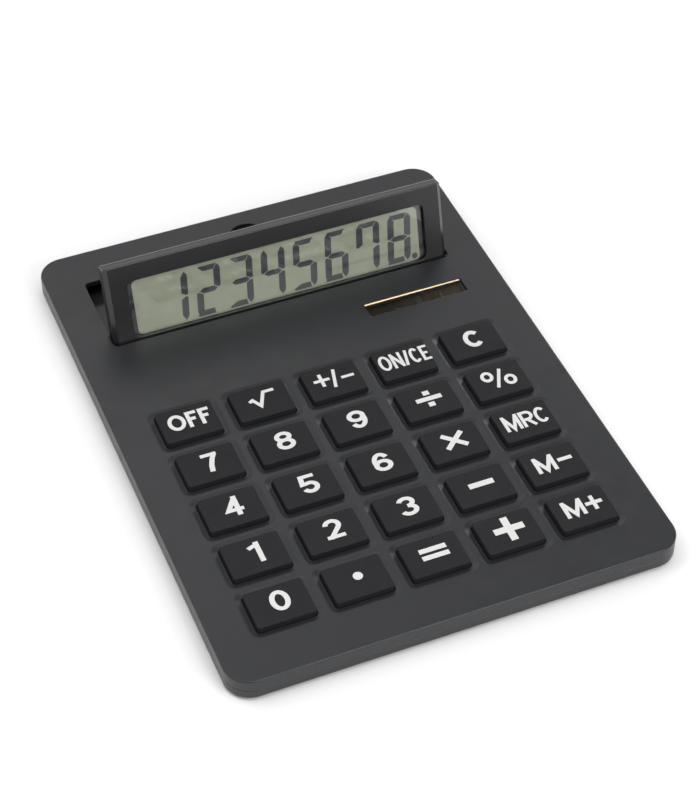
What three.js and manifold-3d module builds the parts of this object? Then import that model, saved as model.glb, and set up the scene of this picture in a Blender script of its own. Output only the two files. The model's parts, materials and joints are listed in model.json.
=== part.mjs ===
// Desk calculator with a flip-up display, large keys and a solar window.
// Millimetres, +Z up. The origin is the middle of the case plan, on the table under the rubber feet.
// Heights inside the deck group are measured from the top face of the case, so parts below it are negative.

import * as THREE from 'three';
import { mergeVertices } from 'three/addons/utils/BufferGeometryUtils.js';
import Module from 'manifold-3d';

const wasm = await Module();
wasm.setup();

// ---------------------------------------------------------------- driving dimensions

const GAP = 0.3; // clearance between touching pieces
const FIT = 0.6; // looser clearance round pieces that move

const CASE_WIDTH = 200;
const CASE_DEPTH = 268;
const CASE_HEIGHT = 10.6;
const CASE_CORNER = 11.5;
const CASE_EDGE = 0.8; // rounding of the top edge
const CASE_FOOT_EDGE = 1.2; // rounding of the bottom edge
const PARTING_Z = -5.65; // where the top shell ends
const PLATE_THICKNESS = 2;
const SIDE_WALL = 2;
const TONGUE_WALL = 1; // lip of the bottom shell, inside the top shell's wall
const TONGUE_RISE = 1.5;
const FLOOR_THICKNESS = 1.4;
const CASE_BOTTOM_Z = -CASE_HEIGHT;
const FLOOR_Z = CASE_BOTTOM_Z + FLOOR_THICKNESS;

const FOOT_STAND = 1.2; // the feet hold the case this far above the table
const FOOT_RADIUS = 5.5;
const FOOT_SOCKET = 0.8;
const FOOT_X = 80;
const FOOT_Y = 112;

const KEY_WIDTH = 25.9;
const KEY_DEPTH = 19.3;
const KEY_CORNER = 1.3;
const KEY_EDGE = 0.4;
const KEY_RISE = 2.1;
const KEY_WALL = 1.4;
const KEY_ROOF = 1.5;
const KEY_FLANGE = 1.3; // how far the retaining flange stands out round the cap
const KEY_FLANGE_THICKNESS = 0.8;
const KEY_POST_RADIUS = 2.5;
const KEY_POST_Z = -3.6;
const KEY_PITCH_X = 33.9;
const KEY_PITCH_Y = 27.4;
const KEY_FIRST_ROW_Y = 7.9;
const KEY_DISH_SPREAD = 3.4; // sunken lip round each key hole
const KEY_DISH_DEPTH = 0.5;
const KEY_POST_OVERLAP = 0.5; // how far the post runs into the cap's roof

const MEMBRANE_TOP_Z = -5.3;
const MEMBRANE_THICKNESS = 0.8;
const DOME_RADIUS = 5;
const DOME_RISE = 1.4;
const DOME_WALL = 0.8;
const BOARD_TOP_Z = -6.4;
const BOARD_THICKNESS = 1.2;
const BOARD_HALF_WIDTH = 84;
const BOARD_FRONT_Y = -119;
const BOARD_BACK_Y = 20;
const BOARD_TONGUE_HALF_WIDTH = 22;
const BOARD_TONGUE_Y = 58;
const PROCESSOR_Y = -60;

const HINGE_Y = 71.1;
const HINGE_Z = -3.95;
const HINGE_BORE = 1.6;
const HINGE_PIN = 1.3;
const HINGE_PIN_INNER_X = 75;
const HINGE_PIN_OUTER_X = 86.5;
const HINGE_BLOCK_X = 88;
const HINGE_BLOCK_BACK_Y = HINGE_Y + 5;
const DISPLAY_TILT = 75; // degrees, as it stands open
const DISPLAY_HALF_WIDTH = 81.9;
const DISPLAY_HALF_THICKNESS = 3.95;
const DISPLAY_LENGTH = 40.75; // hinge axis to free edge
const DISPLAY_SIDE_BEVEL = 1.9;
const DISPLAY_CORNER = 1.5; // corners of the housing seen square on
const SHOULDER_X = 79.6; // beyond this the hinge end is turned down
const SHOULDER_RADIUS = 2.8;
const DISPLAY_TOP_EDGE = 0.4;
const DISPLAY_BACK_ROUND = 3.4;
const DISPLAY_WALL = 1.4;
const DISPLAY_FACE = 1.3; // thickness of the bezel round the window
const HOLLOW_LOW = 5.6; // where the housing's hollow starts, past the pins
const HOLLOW_HINGE_LOW = 2.4; // and between the pins
const HOLLOW_HINGE_X = HINGE_PIN_INNER_X - 1.2;
const WINDOW_HALF_WIDTH = 72;
const WINDOW_LOW = 3.4;
const WINDOW_HIGH = 32.2;
const WINDOW_CORNER = 3;
const LENS_THICKNESS = 0.8;
const LCD_THICKNESS = 1.8;
const LCD_HALF_WIDTH = 72.6;
const LCD_LOW = 2.8;
const LCD_HIGH = 34;
const HOLDER_LOW = 8;
const HOLDER_HIGH = 36;
const HOLDER_THICKNESS = 1;
const RIBBON_HALF_WIDTH = 15;
const RIBBON_THICKNESS = 0.3;
const RIBBON_SLOT_HALF_WIDTH = 18;
const RIBBON_SLOT_RISE = 2;

const WELL_HALF_WIDTH = 82.5;
const WELL_FRONT_Y = 66.85;
const WELL_BACK_Y = 112.5;
const WELL_DEPTH = 8.2;
const WELL_CORNER = 2.4;
const WELL_WALL = 1.5;
const WELL_FLOOR = 0.7;
const WELL_LIP = 0.5; // bevel round the well's mouth
const WELL_FLOOR_END_Y = 104.3; // the floor stops short of the back wall
const WELL_BACK_OPENING_X = 14; // outwards from here the back wall is open below the plate
const WELL_BACK_OPENING_TOP_Z = -2.6;
const NOTCH_RADIUS = 9;
const NOTCH_BACK_Y = 124.8;
const NOTCH_DEPTH = 3.4;

const SOLAR_X = 56.4;
const SOLAR_Y = 46.2;
const SOLAR_WIDTH = 49;
const SOLAR_DEPTH = 9;
const SOLAR_RECESS = 1.6;
const SOLAR_LEDGE = 1.3;
const SOLAR_WINDOW_DROP = 0.4;

const BOSS_X = 91;
const BOSS_Y = [-124, 10, 124];
const BOSS_RADIUS = 2.8;
const BOSS_BOTTOM_Z = -6.5;
const TOWER_RADIUS = 4;
const SCREW_RADIUS = 0.9;
const SCREW_HEAD_RADIUS = 2.5;
const SCREW_HEAD_THICKNESS = 1.6;
const SCREW_HEAD_TOP_Z = -8.6;
const SCREW_TIP_Z = -3;
const SCREW_CROSS_REACH = 0.65; // share of the head's radius
const SCREW_CROSS_WIDTH = 0.6;
const SCREW_CROSS_DEPTH = 0.5;

const COVER_X = -52;
const COVER_Y = 38;
const COVER_WIDTH = 36;
const COVER_DEPTH = 26;
const COVER_THICKNESS = 1.9;
const COVER_CORNER = 2;
const COVER_FRAME = 2; // rim of the raised frame round the cover recess
const COVER_FRAME_TOP_Z = -7.4;
const COVER_SCREW_X = COVER_X + 13.5;
const COVER_SCREW_HEAD = 2;
const COVER_SCREW_THICKNESS = 0.8;
const COVER_SCREW_TIP_Z = -5.1;
const COVER_TOWER_TOP_Z = -4;
const COVER_TOWER_RADIUS = 3;
const COVER_TOWER_BLIND_Z = -4.8;
const CELL_X = COVER_X - 4;
const CELL_RADIUS = 10;
const CELL_SIDES = 24;
const CELL_ROOM = 11; // half the square opening over the cell
const CELL_THICKNESS = 3.2;
const CELL_BOTTOM_Z = -8.3;
const CONTACT_THICKNESS = 0.4;
const LEAF_HALF_WIDTH = 4; // the leaf over the cell, and the tab at its side
const LEAF_FRONT = 9;
const LEAF_BACK = 13;

const FINE = 16; // sides of a small round part
const COARSE = 8; // sides of a hidden or tiny round part
const CORNER_STEPS = 5; // steps round a case corner
const SMALL_STEPS = 2; // steps round a key corner

const KEY_ROWS = [
  ['off', 'square_root', 'change_sign', 'on_clear_entry', 'clear'],
  ['7', '8', '9', 'divide', 'percent'],
  ['4', '5', '6', 'multiply', 'memory_recall'],
  ['1', '2', '3', 'minus', 'memory_minus'],
  ['0', 'point', 'equals', 'plus', 'memory_plus'],
];

// ---------------------------------------------------------------- materials

function plastic(color, roughness) {
  return new THREE.MeshStandardMaterial({ color, roughness, metalness: 0 });
}

function metal(color, roughness) {
  return new THREE.MeshStandardMaterial({ color, roughness, metalness: 1 });
}

function glass(color, opacity) {
  return new THREE.MeshStandardMaterial({ color, roughness: 0.05, transparent: true, opacity });
}

const LOOKS = {
  shell: () => plastic(0x3b3c3f, 0.45),
  key: () => plastic(0x2b2b2d, 0.55),
  bezel: () => plastic(0x333436, 0.4),
  rubber: () => plastic(0x1c1c1c, 0.9),
  membrane: () => plastic(0x8f9194, 0.85),
  board: () => plastic(0x2f5a3a, 0.6),
  epoxy: () => plastic(0x0c0c0c, 0.35),
  lens: () => glass(0xdfe4dc, 0.3),
  lcd: () => plastic(0x9aa08c, 0.3),
  holder: () => plastic(0xd9d9d4, 0.6),
  ribbon: () => plastic(0xb7762f, 0.5),
  solar: () => plastic(0x20160f, 0.2),
  amber: () => glass(0x4a3316, 0.5),
  steel: () => metal(0xb8babd, 0.3),
};

// ---------------------------------------------------------------- solids

function toSolid(geometry) {
  const bare = geometry.index ? geometry.toNonIndexed() : geometry.clone();
  bare.deleteAttribute('normal');
  bare.deleteAttribute('uv');
  const merged = mergeVertices(bare, 1e-4);
  return new wasm.Manifold(new wasm.Mesh({
    numProp: 3,
    vertProperties: Float32Array.from(merged.attributes.position.array),
    triVerts: Uint32Array.from(merged.index.array),
  }));
}

function toGeometry(solid) {
  const mesh = solid.getMesh();
  const geometry = new THREE.BufferGeometry();
  geometry.setAttribute('position', new THREE.BufferAttribute(mesh.vertProperties, 3));
  geometry.setIndex(new THREE.BufferAttribute(mesh.triVerts, 1));
  geometry.computeVertexNormals();
  return geometry;
}

function arcPoints(x, y, radius, fromDegrees, toDegrees, steps) {
  const points = [];
  for (let i = 0; i <= steps; i += 1) {
    const angle = THREE.MathUtils.degToRad(fromDegrees + ((toDegrees - fromDegrees) * i) / steps);
    points.push(new THREE.Vector2(x + radius * Math.cos(angle), y + radius * Math.sin(angle)));
  }
  return points;
}

// Outline of a rectangle with round corners, counter-clockwise, centred on x, y.
function roundedRectangle(width, depth, radius, steps, x = 0, y = 0) {
  const points = [];
  for (const [sideX, sideY, start] of [[1, 1, 0], [-1, 1, 90], [-1, -1, 180], [1, -1, 270]]) {
    const cornerX = x + sideX * (width / 2 - radius);
    const cornerY = y + sideY * (depth / 2 - radius);
    points.push(...arcPoints(cornerX, cornerY, radius, start, start + 90, steps));
  }
  return points;
}

function prism(points, low, high) {
  const settings = { depth: high - low, bevelEnabled: false };
  return toSolid(new THREE.ExtrudeGeometry(new THREE.Shape(points), settings).translate(0, 0, low));
}

// A prism whose top and bottom rims are cut back by edge, in steps.
function edgedPrism(points, low, high, edge, steps = 1) {
  const settings = {
    depth: high - low - 2 * edge,
    bevelEnabled: true,
    bevelThickness: edge,
    bevelSize: edge,
    bevelOffset: -edge,
    bevelSegments: steps,
  };
  return toSolid(new THREE.ExtrudeGeometry(new THREE.Shape(points), settings).translate(0, 0, low + edge));
}

// A cutter that spreads from the outline, depth below z = 0, to the outline plus spread at z = 0 and above.
function flaredCutter(points, spread, depth) {
  const settings = {
    depth: 2,
    bevelEnabled: true,
    bevelThickness: depth,
    bevelSize: spread,
    bevelSegments: 1,
  };
  return toSolid(new THREE.ExtrudeGeometry(new THREE.Shape(points), settings));
}

// A prism along X of an outline drawn in the Y, Z plane.
function prismAlongX(points, low, high) {
  const settings = { depth: high - low, bevelEnabled: false };
  const geometry = new THREE.ExtrudeGeometry(new THREE.Shape(points), settings).translate(0, 0, low);
  const turn = new THREE.Matrix4().makeBasis(
    new THREE.Vector3(0, 1, 0),
    new THREE.Vector3(0, 0, 1),
    new THREE.Vector3(1, 0, 0),
  );
  return toSolid(geometry.applyMatrix4(turn));
}

function box(lowX, highX, lowY, highY, lowZ, highZ) {
  const geometry = new THREE.BoxGeometry(highX - lowX, highY - lowY, highZ - lowZ);
  geometry.translate((lowX + highX) / 2, (lowY + highY) / 2, (lowZ + highZ) / 2);
  return toSolid(geometry);
}

function post(x, y, radius, low, high, sides = FINE) {
  const geometry = new THREE.CylinderGeometry(radius, radius, high - low, sides);
  geometry.rotateX(Math.PI / 2).translate(x, y, (low + high) / 2);
  return toSolid(geometry);
}

function rodAlongX(lowX, highX, y, z, radius, sides = FINE) {
  const geometry = new THREE.CylinderGeometry(radius, radius, highX - lowX, sides);
  geometry.rotateZ(Math.PI / 2).translate((lowX + highX) / 2, y, z);
  return toSolid(geometry);
}

function joined(solids) {
  return solids.reduce((sum, solid) => sum.add(solid));
}

function addMesh(group, name, solid, look) {
  const mesh = new THREE.Mesh(toGeometry(solid), LOOKS[look]());
  mesh.name = name;
  group.add(mesh);
  return mesh;
}

// ---------------------------------------------------------------- positions shared by several pieces

const KEYS = KEY_ROWS.flatMap((row, rowIndex) => row.map((label, columnIndex) => ({
  name: `key_${label}`,
  x: (columnIndex - 2) * KEY_PITCH_X,
  y: KEY_FIRST_ROW_Y - rowIndex * KEY_PITCH_Y,
})));

const SCREW_PLACES = BOSS_Y.flatMap((y) => [[-BOSS_X, y], [BOSS_X, y]]);

function casePlan(inset) {
  const radius = Math.max(CASE_CORNER - inset, 1);
  return roundedRectangle(CASE_WIDTH - 2 * inset, CASE_DEPTH - 2 * inset, radius, CORNER_STEPS);
}

function notchPlan(radius) {
  const centreY = NOTCH_BACK_Y - NOTCH_RADIUS;
  const startY = WELL_BACK_Y - 1;
  return [
    new THREE.Vector2(-radius, startY),
    new THREE.Vector2(radius, startY),
    ...arcPoints(0, centreY, radius, 0, 180, 10),
  ];
}

// A point of the open display, given along it and out of its face, in deck Y and Z.
function openDisplayPoint(along, out) {
  const angle = THREE.MathUtils.degToRad(DISPLAY_TILT);
  return new THREE.Vector2(
    HINGE_Y + along * Math.cos(angle) - out * Math.sin(angle),
    HINGE_Z + along * Math.sin(angle) + out * Math.cos(angle),
  );
}

// ---------------------------------------------------------------- case

function topCase() {
  const below = PARTING_Z - 3;
  let shell = edgedPrism(casePlan(0), below, 0, CASE_EDGE, 2)
    .subtract(box(-CASE_WIDTH, CASE_WIDTH, -CASE_DEPTH, CASE_DEPTH, below - 1, PARTING_Z))
    .subtract(prism(casePlan(SIDE_WALL), below, -PLATE_THICKNESS));

  const wellMiddleY = (WELL_FRONT_Y + WELL_BACK_Y) / 2;
  const wellLength = WELL_BACK_Y - WELL_FRONT_Y;
  const pocketBottom = -WELL_DEPTH - WELL_FLOOR;
  const wellWidth = 2 * WELL_HALF_WIDTH;
  const wellHollow = roundedRectangle(wellWidth, wellLength, WELL_CORNER, SMALL_STEPS, 0, wellMiddleY);
  const outerX = WELL_HALF_WIDTH + WELL_WALL;
  const outerFrontY = WELL_FRONT_Y - WELL_WALL;
  const outerBackY = WELL_BACK_Y + WELL_WALL;
  shell = joined([
    shell,
    box(-outerX, outerX, outerFrontY, outerBackY, pocketBottom, -1),
    box(-HINGE_BLOCK_X, HINGE_BLOCK_X, outerFrontY, HINGE_BLOCK_BACK_Y, pocketBottom, -1),
    prism(notchPlan(NOTCH_RADIUS + WELL_WALL), -NOTCH_DEPTH - WELL_WALL, -1),
    ...SCREW_PLACES.map(([x, y]) => post(x, y, BOSS_RADIUS, BOSS_BOTTOM_Z, -1)),
  ]);

  const cutters = [
    prism(wellHollow, -WELL_DEPTH, 1),
    flaredCutter(wellHollow, WELL_LIP, WELL_LIP),
    box(-outerX + 3, outerX - 3, WELL_FLOOR_END_Y, WELL_BACK_Y, pocketBottom - 1, -WELL_DEPTH + 1),
    ...[-1, 1].map((side) => {
      const edges = [side * WELL_BACK_OPENING_X, side * (outerX - 3)].sort((a, b) => a - b);
      return box(...edges, WELL_FLOOR_END_Y, outerBackY + 1, pocketBottom - 1, WELL_BACK_OPENING_TOP_Z);
    }),
    box(
      -RIBBON_SLOT_HALF_WIDTH, RIBBON_SLOT_HALF_WIDTH,
      outerFrontY - 1, WELL_FRONT_Y + 1, -WELL_DEPTH, -WELL_DEPTH + RIBBON_SLOT_RISE,
    ),
    prism(notchPlan(NOTCH_RADIUS), -NOTCH_DEPTH, 1),
    prism(roundedRectangle(SOLAR_WIDTH, SOLAR_DEPTH, 0.5, 1, SOLAR_X, SOLAR_Y), -SOLAR_RECESS, 1),
    box(
      SOLAR_X - SOLAR_WIDTH / 2 + SOLAR_LEDGE, SOLAR_X + SOLAR_WIDTH / 2 - SOLAR_LEDGE,
      SOLAR_Y - SOLAR_DEPTH / 2 + SOLAR_LEDGE, SOLAR_Y + SOLAR_DEPTH / 2 - SOLAR_LEDGE,
      -PLATE_THICKNESS - 1, 0,
    ),
    rodAlongX(-HINGE_PIN_OUTER_X - GAP, HINGE_PIN_OUTER_X + GAP, HINGE_Y, HINGE_Z, HINGE_BORE),
    ...SCREW_PLACES.map(([x, y]) => (
      post(x, y, SCREW_RADIUS + GAP, BOSS_BOTTOM_Z - 1, SCREW_TIP_Z + GAP, COARSE)
    )),
  ];
  for (const { x, y } of KEYS) {
    const width = KEY_WIDTH + FIT;
    const depth = KEY_DEPTH + FIT;
    const hole = roundedRectangle(width, depth, KEY_CORNER + GAP, SMALL_STEPS, x, y);
    cutters.push(prism(hole, -PLATE_THICKNESS - 1, 1), flaredCutter(hole, KEY_DISH_SPREAD, KEY_DISH_DEPTH));
  }
  return shell.subtract(joined(cutters));
}

function bottomCase() {
  const rim = PARTING_Z - GAP;
  const tongueInset = SIDE_WALL + GAP;
  const above = rim + 4;
  const shell = joined([
    edgedPrism(casePlan(0), CASE_BOTTOM_Z, above, CASE_FOOT_EDGE, 2)
      .subtract(box(-CASE_WIDTH, CASE_WIDTH, -CASE_DEPTH, CASE_DEPTH, rim, above + 1)),
    prism(casePlan(tongueInset), rim - 1, rim + TONGUE_RISE),
  ]).subtract(prism(casePlan(tongueInset + TONGUE_WALL), FLOOR_Z, above));

  const frameWidth = COVER_WIDTH + 2 * COVER_FRAME;
  const frameDepth = COVER_DEPTH + 2 * COVER_FRAME;
  const coverFrame = roundedRectangle(frameWidth, frameDepth, 3, 1, COVER_X, COVER_Y);
  const towers = joined([
    shell,
    ...SCREW_PLACES.map(([x, y]) => post(x, y, TOWER_RADIUS, FLOOR_Z - 0.5, BOSS_BOTTOM_Z - GAP)),
    prism(coverFrame, FLOOR_Z - 0.5, COVER_FRAME_TOP_Z),
    post(COVER_SCREW_X, COVER_Y, COVER_TOWER_RADIUS, COVER_FRAME_TOP_Z - 0.5, COVER_TOWER_TOP_Z, COARSE),
  ]);

  const under = CASE_BOTTOM_Z - 1;
  const coverPlan = roundedRectangle(COVER_WIDTH, COVER_DEPTH, COVER_CORNER, SMALL_STEPS, COVER_X, COVER_Y);
  const coverRecess = CASE_BOTTOM_Z + COVER_THICKNESS + GAP;
  const cutters = [
    prism(coverPlan, under, coverRecess),
    box(CELL_X - CELL_ROOM, CELL_X + CELL_ROOM, COVER_Y - CELL_ROOM, COVER_Y + CELL_ROOM, under, 0),
    post(COVER_SCREW_X, COVER_Y, SCREW_RADIUS + GAP, under, COVER_TOWER_BLIND_Z, COARSE),
  ];
  for (const [x, y] of SCREW_PLACES) {
    cutters.push(post(x, y, SCREW_HEAD_RADIUS + GAP, under, SCREW_HEAD_TOP_Z + GAP));
    cutters.push(post(x, y, SCREW_RADIUS + GAP, under, 0, COARSE));
  }
  for (const [x, y] of footPlaces()) {
    cutters.push(post(x, y, FOOT_RADIUS + GAP, under, CASE_BOTTOM_Z + FOOT_SOCKET));
  }
  return towers.subtract(joined(cutters));
}

function footPlaces() {
  return [[-FOOT_X, -FOOT_Y], [FOOT_X, -FOOT_Y], [-FOOT_X, FOOT_Y], [FOOT_X, FOOT_Y]];
}

// A cross-head screw that points up, with the underside of its head at z = 0.
function screw(headRadius, headThickness, length) {
  const reach = headRadius * SCREW_CROSS_REACH;
  const half = SCREW_CROSS_WIDTH / 2;
  const below = -headThickness - 1;
  const bottom = -headThickness + SCREW_CROSS_DEPTH;
  return joined([
    post(0, 0, headRadius, -headThickness, 0),
    post(0, 0, SCREW_RADIUS, -0.2, length, COARSE),
  ])
    .subtract(box(-reach, reach, -half, half, below, bottom))
    .subtract(box(-half, half, -reach, reach, below, bottom));
}

function addCase(deck) {
  addMesh(deck, 'top_case', topCase(), 'shell');
  addMesh(deck, 'bottom_case', bottomCase(), 'shell');
  const screwLength = SCREW_TIP_Z - SCREW_HEAD_TOP_Z;
  SCREW_PLACES.forEach(([x, y], index) => {
    const solid = screw(SCREW_HEAD_RADIUS, SCREW_HEAD_THICKNESS, screwLength);
    addMesh(deck, `case_screw_${index + 1}`, solid, 'steel').position.set(x, y, SCREW_HEAD_TOP_Z);
  });
  footPlaces().forEach(([x, y], index) => {
    const height = FOOT_STAND + FOOT_SOCKET - GAP;
    const mesh = addMesh(deck, `foot_${index + 1}`, post(0, 0, FOOT_RADIUS, 0, height), 'rubber');
    mesh.position.set(x, y, CASE_BOTTOM_Z - FOOT_STAND);
  });
}

// ---------------------------------------------------------------- keypad

function keyCap() {
  const capBottom = -PLATE_THICKNESS - GAP - KEY_FLANGE_THICKNESS;
  const flangeWidth = KEY_WIDTH + 2 * KEY_FLANGE;
  const flangeDepth = KEY_DEPTH + 2 * KEY_FLANGE;
  const plan = roundedRectangle(KEY_WIDTH, KEY_DEPTH, KEY_CORNER, SMALL_STEPS);
  const cap = edgedPrism(plan, capBottom, KEY_RISE, KEY_EDGE);
  const stem = post(0, 0, KEY_POST_RADIUS, KEY_POST_Z, KEY_RISE - KEY_ROOF + KEY_POST_OVERLAP, COARSE);
  const flange = prism(
    roundedRectangle(flangeWidth, flangeDepth, KEY_CORNER, 1),
    capBottom,
    capBottom + KEY_FLANGE_THICKNESS,
  );
  const hollowX = KEY_WIDTH / 2 - KEY_WALL;
  const hollowY = KEY_DEPTH / 2 - KEY_WALL;
  const hollow = box(-hollowX, hollowX, -hollowY, hollowY, capBottom - 1, KEY_RISE - KEY_ROOF);
  return cap.add(flange).subtract(hollow).add(stem);
}

function membrane() {
  const low = MEMBRANE_TOP_Z - MEMBRANE_THICKNESS;
  const domeTop = MEMBRANE_TOP_Z + DOME_RISE;
  const middleY = (BOARD_FRONT_Y + BOARD_BACK_Y) / 2;
  const length = BOARD_BACK_Y - BOARD_FRONT_Y;
  const sheet = prism(roundedRectangle(2 * BOARD_HALF_WIDTH, length, 2, 1, 0, middleY), low, MEMBRANE_TOP_Z);
  const domes = KEYS.map(({ x, y }) => post(x, y, DOME_RADIUS, low + 0.1, domeTop, COARSE));
  const hollows = KEYS.map(({ x, y }) => (
    post(x, y, DOME_RADIUS - DOME_WALL, low - 1, domeTop - DOME_WALL, COARSE)
  ));
  return joined([sheet, ...domes]).subtract(joined(hollows));
}

function circuitBoard() {
  const outline = [
    [-BOARD_HALF_WIDTH, BOARD_FRONT_Y],
    [BOARD_HALF_WIDTH, BOARD_FRONT_Y],
    [BOARD_HALF_WIDTH, BOARD_BACK_Y],
    [BOARD_TONGUE_HALF_WIDTH, BOARD_BACK_Y],
    [BOARD_TONGUE_HALF_WIDTH, BOARD_TONGUE_Y],
    [-BOARD_TONGUE_HALF_WIDTH, BOARD_TONGUE_Y],
    [-BOARD_TONGUE_HALF_WIDTH, BOARD_BACK_Y],
    [-BOARD_HALF_WIDTH, BOARD_BACK_Y],
  ].map(([x, y]) => new THREE.Vector2(x, y));
  return prism(outline, BOARD_TOP_Z - BOARD_THICKNESS, BOARD_TOP_Z);
}

function processor() {
  const top = BOARD_TOP_Z - BOARD_THICKNESS - GAP;
  const half = [[0, -1], [3.5, -0.9], [6, -0.55], [7, 0], [0, 0]];
  const profile = half.map(([radius, z]) => new THREE.Vector2(radius, z));
  const geometry = new THREE.LatheGeometry(profile, FINE);
  return toSolid(geometry.rotateX(Math.PI / 2).translate(0, PROCESSOR_Y, top));
}

function addKeypad(deck) {
  for (const { name, x, y } of KEYS) {
    addMesh(deck, name, keyCap(), 'key').position.set(x, y, 0);
  }
  addMesh(deck, 'keypad_membrane', membrane(), 'membrane');
  addMesh(deck, 'circuit_board', circuitBoard(), 'board');
  addMesh(deck, 'processor', processor(), 'epoxy');
}

// ---------------------------------------------------------------- power

function addPower(deck) {
  const windowWidth = SOLAR_WIDTH - 2 * GAP;
  const windowDepth = SOLAR_DEPTH - 2 * GAP;
  const windowPlan = roundedRectangle(windowWidth, windowDepth, 0.4, 1, SOLAR_X, SOLAR_Y);
  addMesh(deck, 'solar_window', prism(windowPlan, GAP - SOLAR_RECESS, -SOLAR_WINDOW_DROP), 'amber');
  const cellTop = -PLATE_THICKNESS - GAP;
  const cellPlan = roundedRectangle(SOLAR_WIDTH, SOLAR_DEPTH + 1, 0.4, 1, SOLAR_X, SOLAR_Y);
  addMesh(deck, 'solar_cell', prism(cellPlan, cellTop - 1.1, cellTop), 'solar');

  const batteryTop = CELL_BOTTOM_Z + CELL_THICKNESS;
  const cell = post(CELL_X, COVER_Y, CELL_RADIUS, CELL_BOTTOM_Z, batteryTop, CELL_SIDES);
  addMesh(deck, 'button_cell', cell, 'steel');
  const leafLow = batteryTop + GAP;
  const negative = box(
    CELL_X - LEAF_HALF_WIDTH, CELL_X + LEAF_HALF_WIDTH,
    COVER_Y - LEAF_FRONT, COVER_Y + LEAF_BACK, leafLow, leafLow + CONTACT_THICKNESS,
  );
  addMesh(deck, 'contact_negative', negative, 'steel');
  const sideX = CELL_X - CELL_RADIUS - GAP;
  const positive = box(
    sideX - CONTACT_THICKNESS, sideX,
    COVER_Y - LEAF_HALF_WIDTH, COVER_Y + LEAF_HALF_WIDTH, CELL_BOTTOM_Z + 0.5, leafLow,
  );
  addMesh(deck, 'contact_positive', positive, 'steel');

  const under = CASE_BOTTOM_Z;
  const headRoom = under + COVER_THICKNESS / 2 + GAP;
  const coverWidth = COVER_WIDTH - FIT;
  const coverDepth = COVER_DEPTH - FIT;
  const corner = COVER_CORNER - GAP;
  const coverPlan = roundedRectangle(coverWidth, coverDepth, corner, SMALL_STEPS, COVER_X, COVER_Y);
  const cover = prism(coverPlan, under, under + COVER_THICKNESS)
    .subtract(post(COVER_SCREW_X, COVER_Y, COVER_SCREW_HEAD + GAP, under - 1, headRoom))
    .subtract(post(COVER_SCREW_X, COVER_Y, SCREW_RADIUS + GAP, under - 1, 0, COARSE));
  addMesh(deck, 'battery_cover', cover, 'shell');
  const headTop = headRoom - GAP;
  const coverScrew = screw(COVER_SCREW_HEAD, COVER_SCREW_THICKNESS, COVER_SCREW_TIP_Z - headTop);
  addMesh(deck, 'cover_screw', coverScrew, 'steel').position.set(COVER_SCREW_X, COVER_Y, headTop);
}

// ---------------------------------------------------------------- flip-up display
// In its own frame X runs along the hinge axis, Y from the axis to the free edge and Z out of the screen.

function displayHollow(low, high) {
  const sideX = DISPLAY_HALF_WIDTH - DISPLAY_WALL;
  return joined([
    box(-sideX, sideX, HOLLOW_LOW, DISPLAY_LENGTH - DISPLAY_WALL, low, high),
    box(-HOLLOW_HINGE_X, HOLLOW_HINGE_X, HOLLOW_HINGE_LOW, HOLLOW_LOW + 1, low, high),
  ]);
}

// Material taken off both halves: pin bores, the ribbon's passage and the turned-down ends.
function hingeCuts() {
  const end = DISPLAY_HALF_WIDTH + 1;
  const shoulders = [[-end, -SHOULDER_X], [SHOULDER_X, end]].map(([low, high]) => (
    box(low, high, -6, 0, -6, 6).subtract(rodAlongX(low - 1, high + 1, 0, 0, SHOULDER_RADIUS))
  ));
  return joined([
    ...shoulders,
    rodAlongX(-end, -HINGE_PIN_INNER_X + GAP, 0, 0, HINGE_BORE),
    rodAlongX(HINGE_PIN_INNER_X - GAP, end, 0, 0, HINGE_BORE),
    box(-RIBBON_SLOT_HALF_WIDTH, RIBBON_SLOT_HALF_WIDTH, -5, 3, -5, 2),
  ]);
}

function housingPlan() {
  const low = -DISPLAY_HALF_THICKNESS;
  const middle = (low + DISPLAY_LENGTH) / 2;
  const plan = roundedRectangle(2 * DISPLAY_HALF_WIDTH, DISPLAY_LENGTH - low, DISPLAY_CORNER, 3, 0, middle);
  return prism(plan, -6, 6);
}

function displayBezel() {
  const half = DISPLAY_HALF_THICKNESS;
  const profile = [
    ...arcPoints(0, 0, half, 90, 180, 5),
    new THREE.Vector2(DISPLAY_LENGTH, 0),
    new THREE.Vector2(DISPLAY_LENGTH, half - DISPLAY_TOP_EDGE),
    new THREE.Vector2(DISPLAY_LENGTH - DISPLAY_TOP_EDGE, half),
  ];
  const end = DISPLAY_HALF_WIDTH;
  const windowMiddle = (WINDOW_LOW + WINDOW_HIGH) / 2;
  const windowLength = WINDOW_HIGH - WINDOW_LOW;
  const windowPlan = roundedRectangle(2 * WINDOW_HALF_WIDTH, windowLength, WINDOW_CORNER, 4, 0, windowMiddle);
  let bezel = prismAlongX(profile, -end, end)
    .intersect(housingPlan())
    .subtract(displayHollow(-1, half - DISPLAY_FACE))
    .subtract(prism(windowPlan, 0, half + 1))
    .subtract(hingeCuts());
  const reach = DISPLAY_SIDE_BEVEL / Math.SQRT2;
  for (const side of [-1, 1]) {
    const bevel = box(-reach, reach, -DISPLAY_LENGTH, 2 * DISPLAY_LENGTH, -reach, reach);
    bezel = bezel.subtract(bevel.rotate([0, 45, 0]).translate([side * end, 0, half]));
  }
  return bezel;
}

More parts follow.
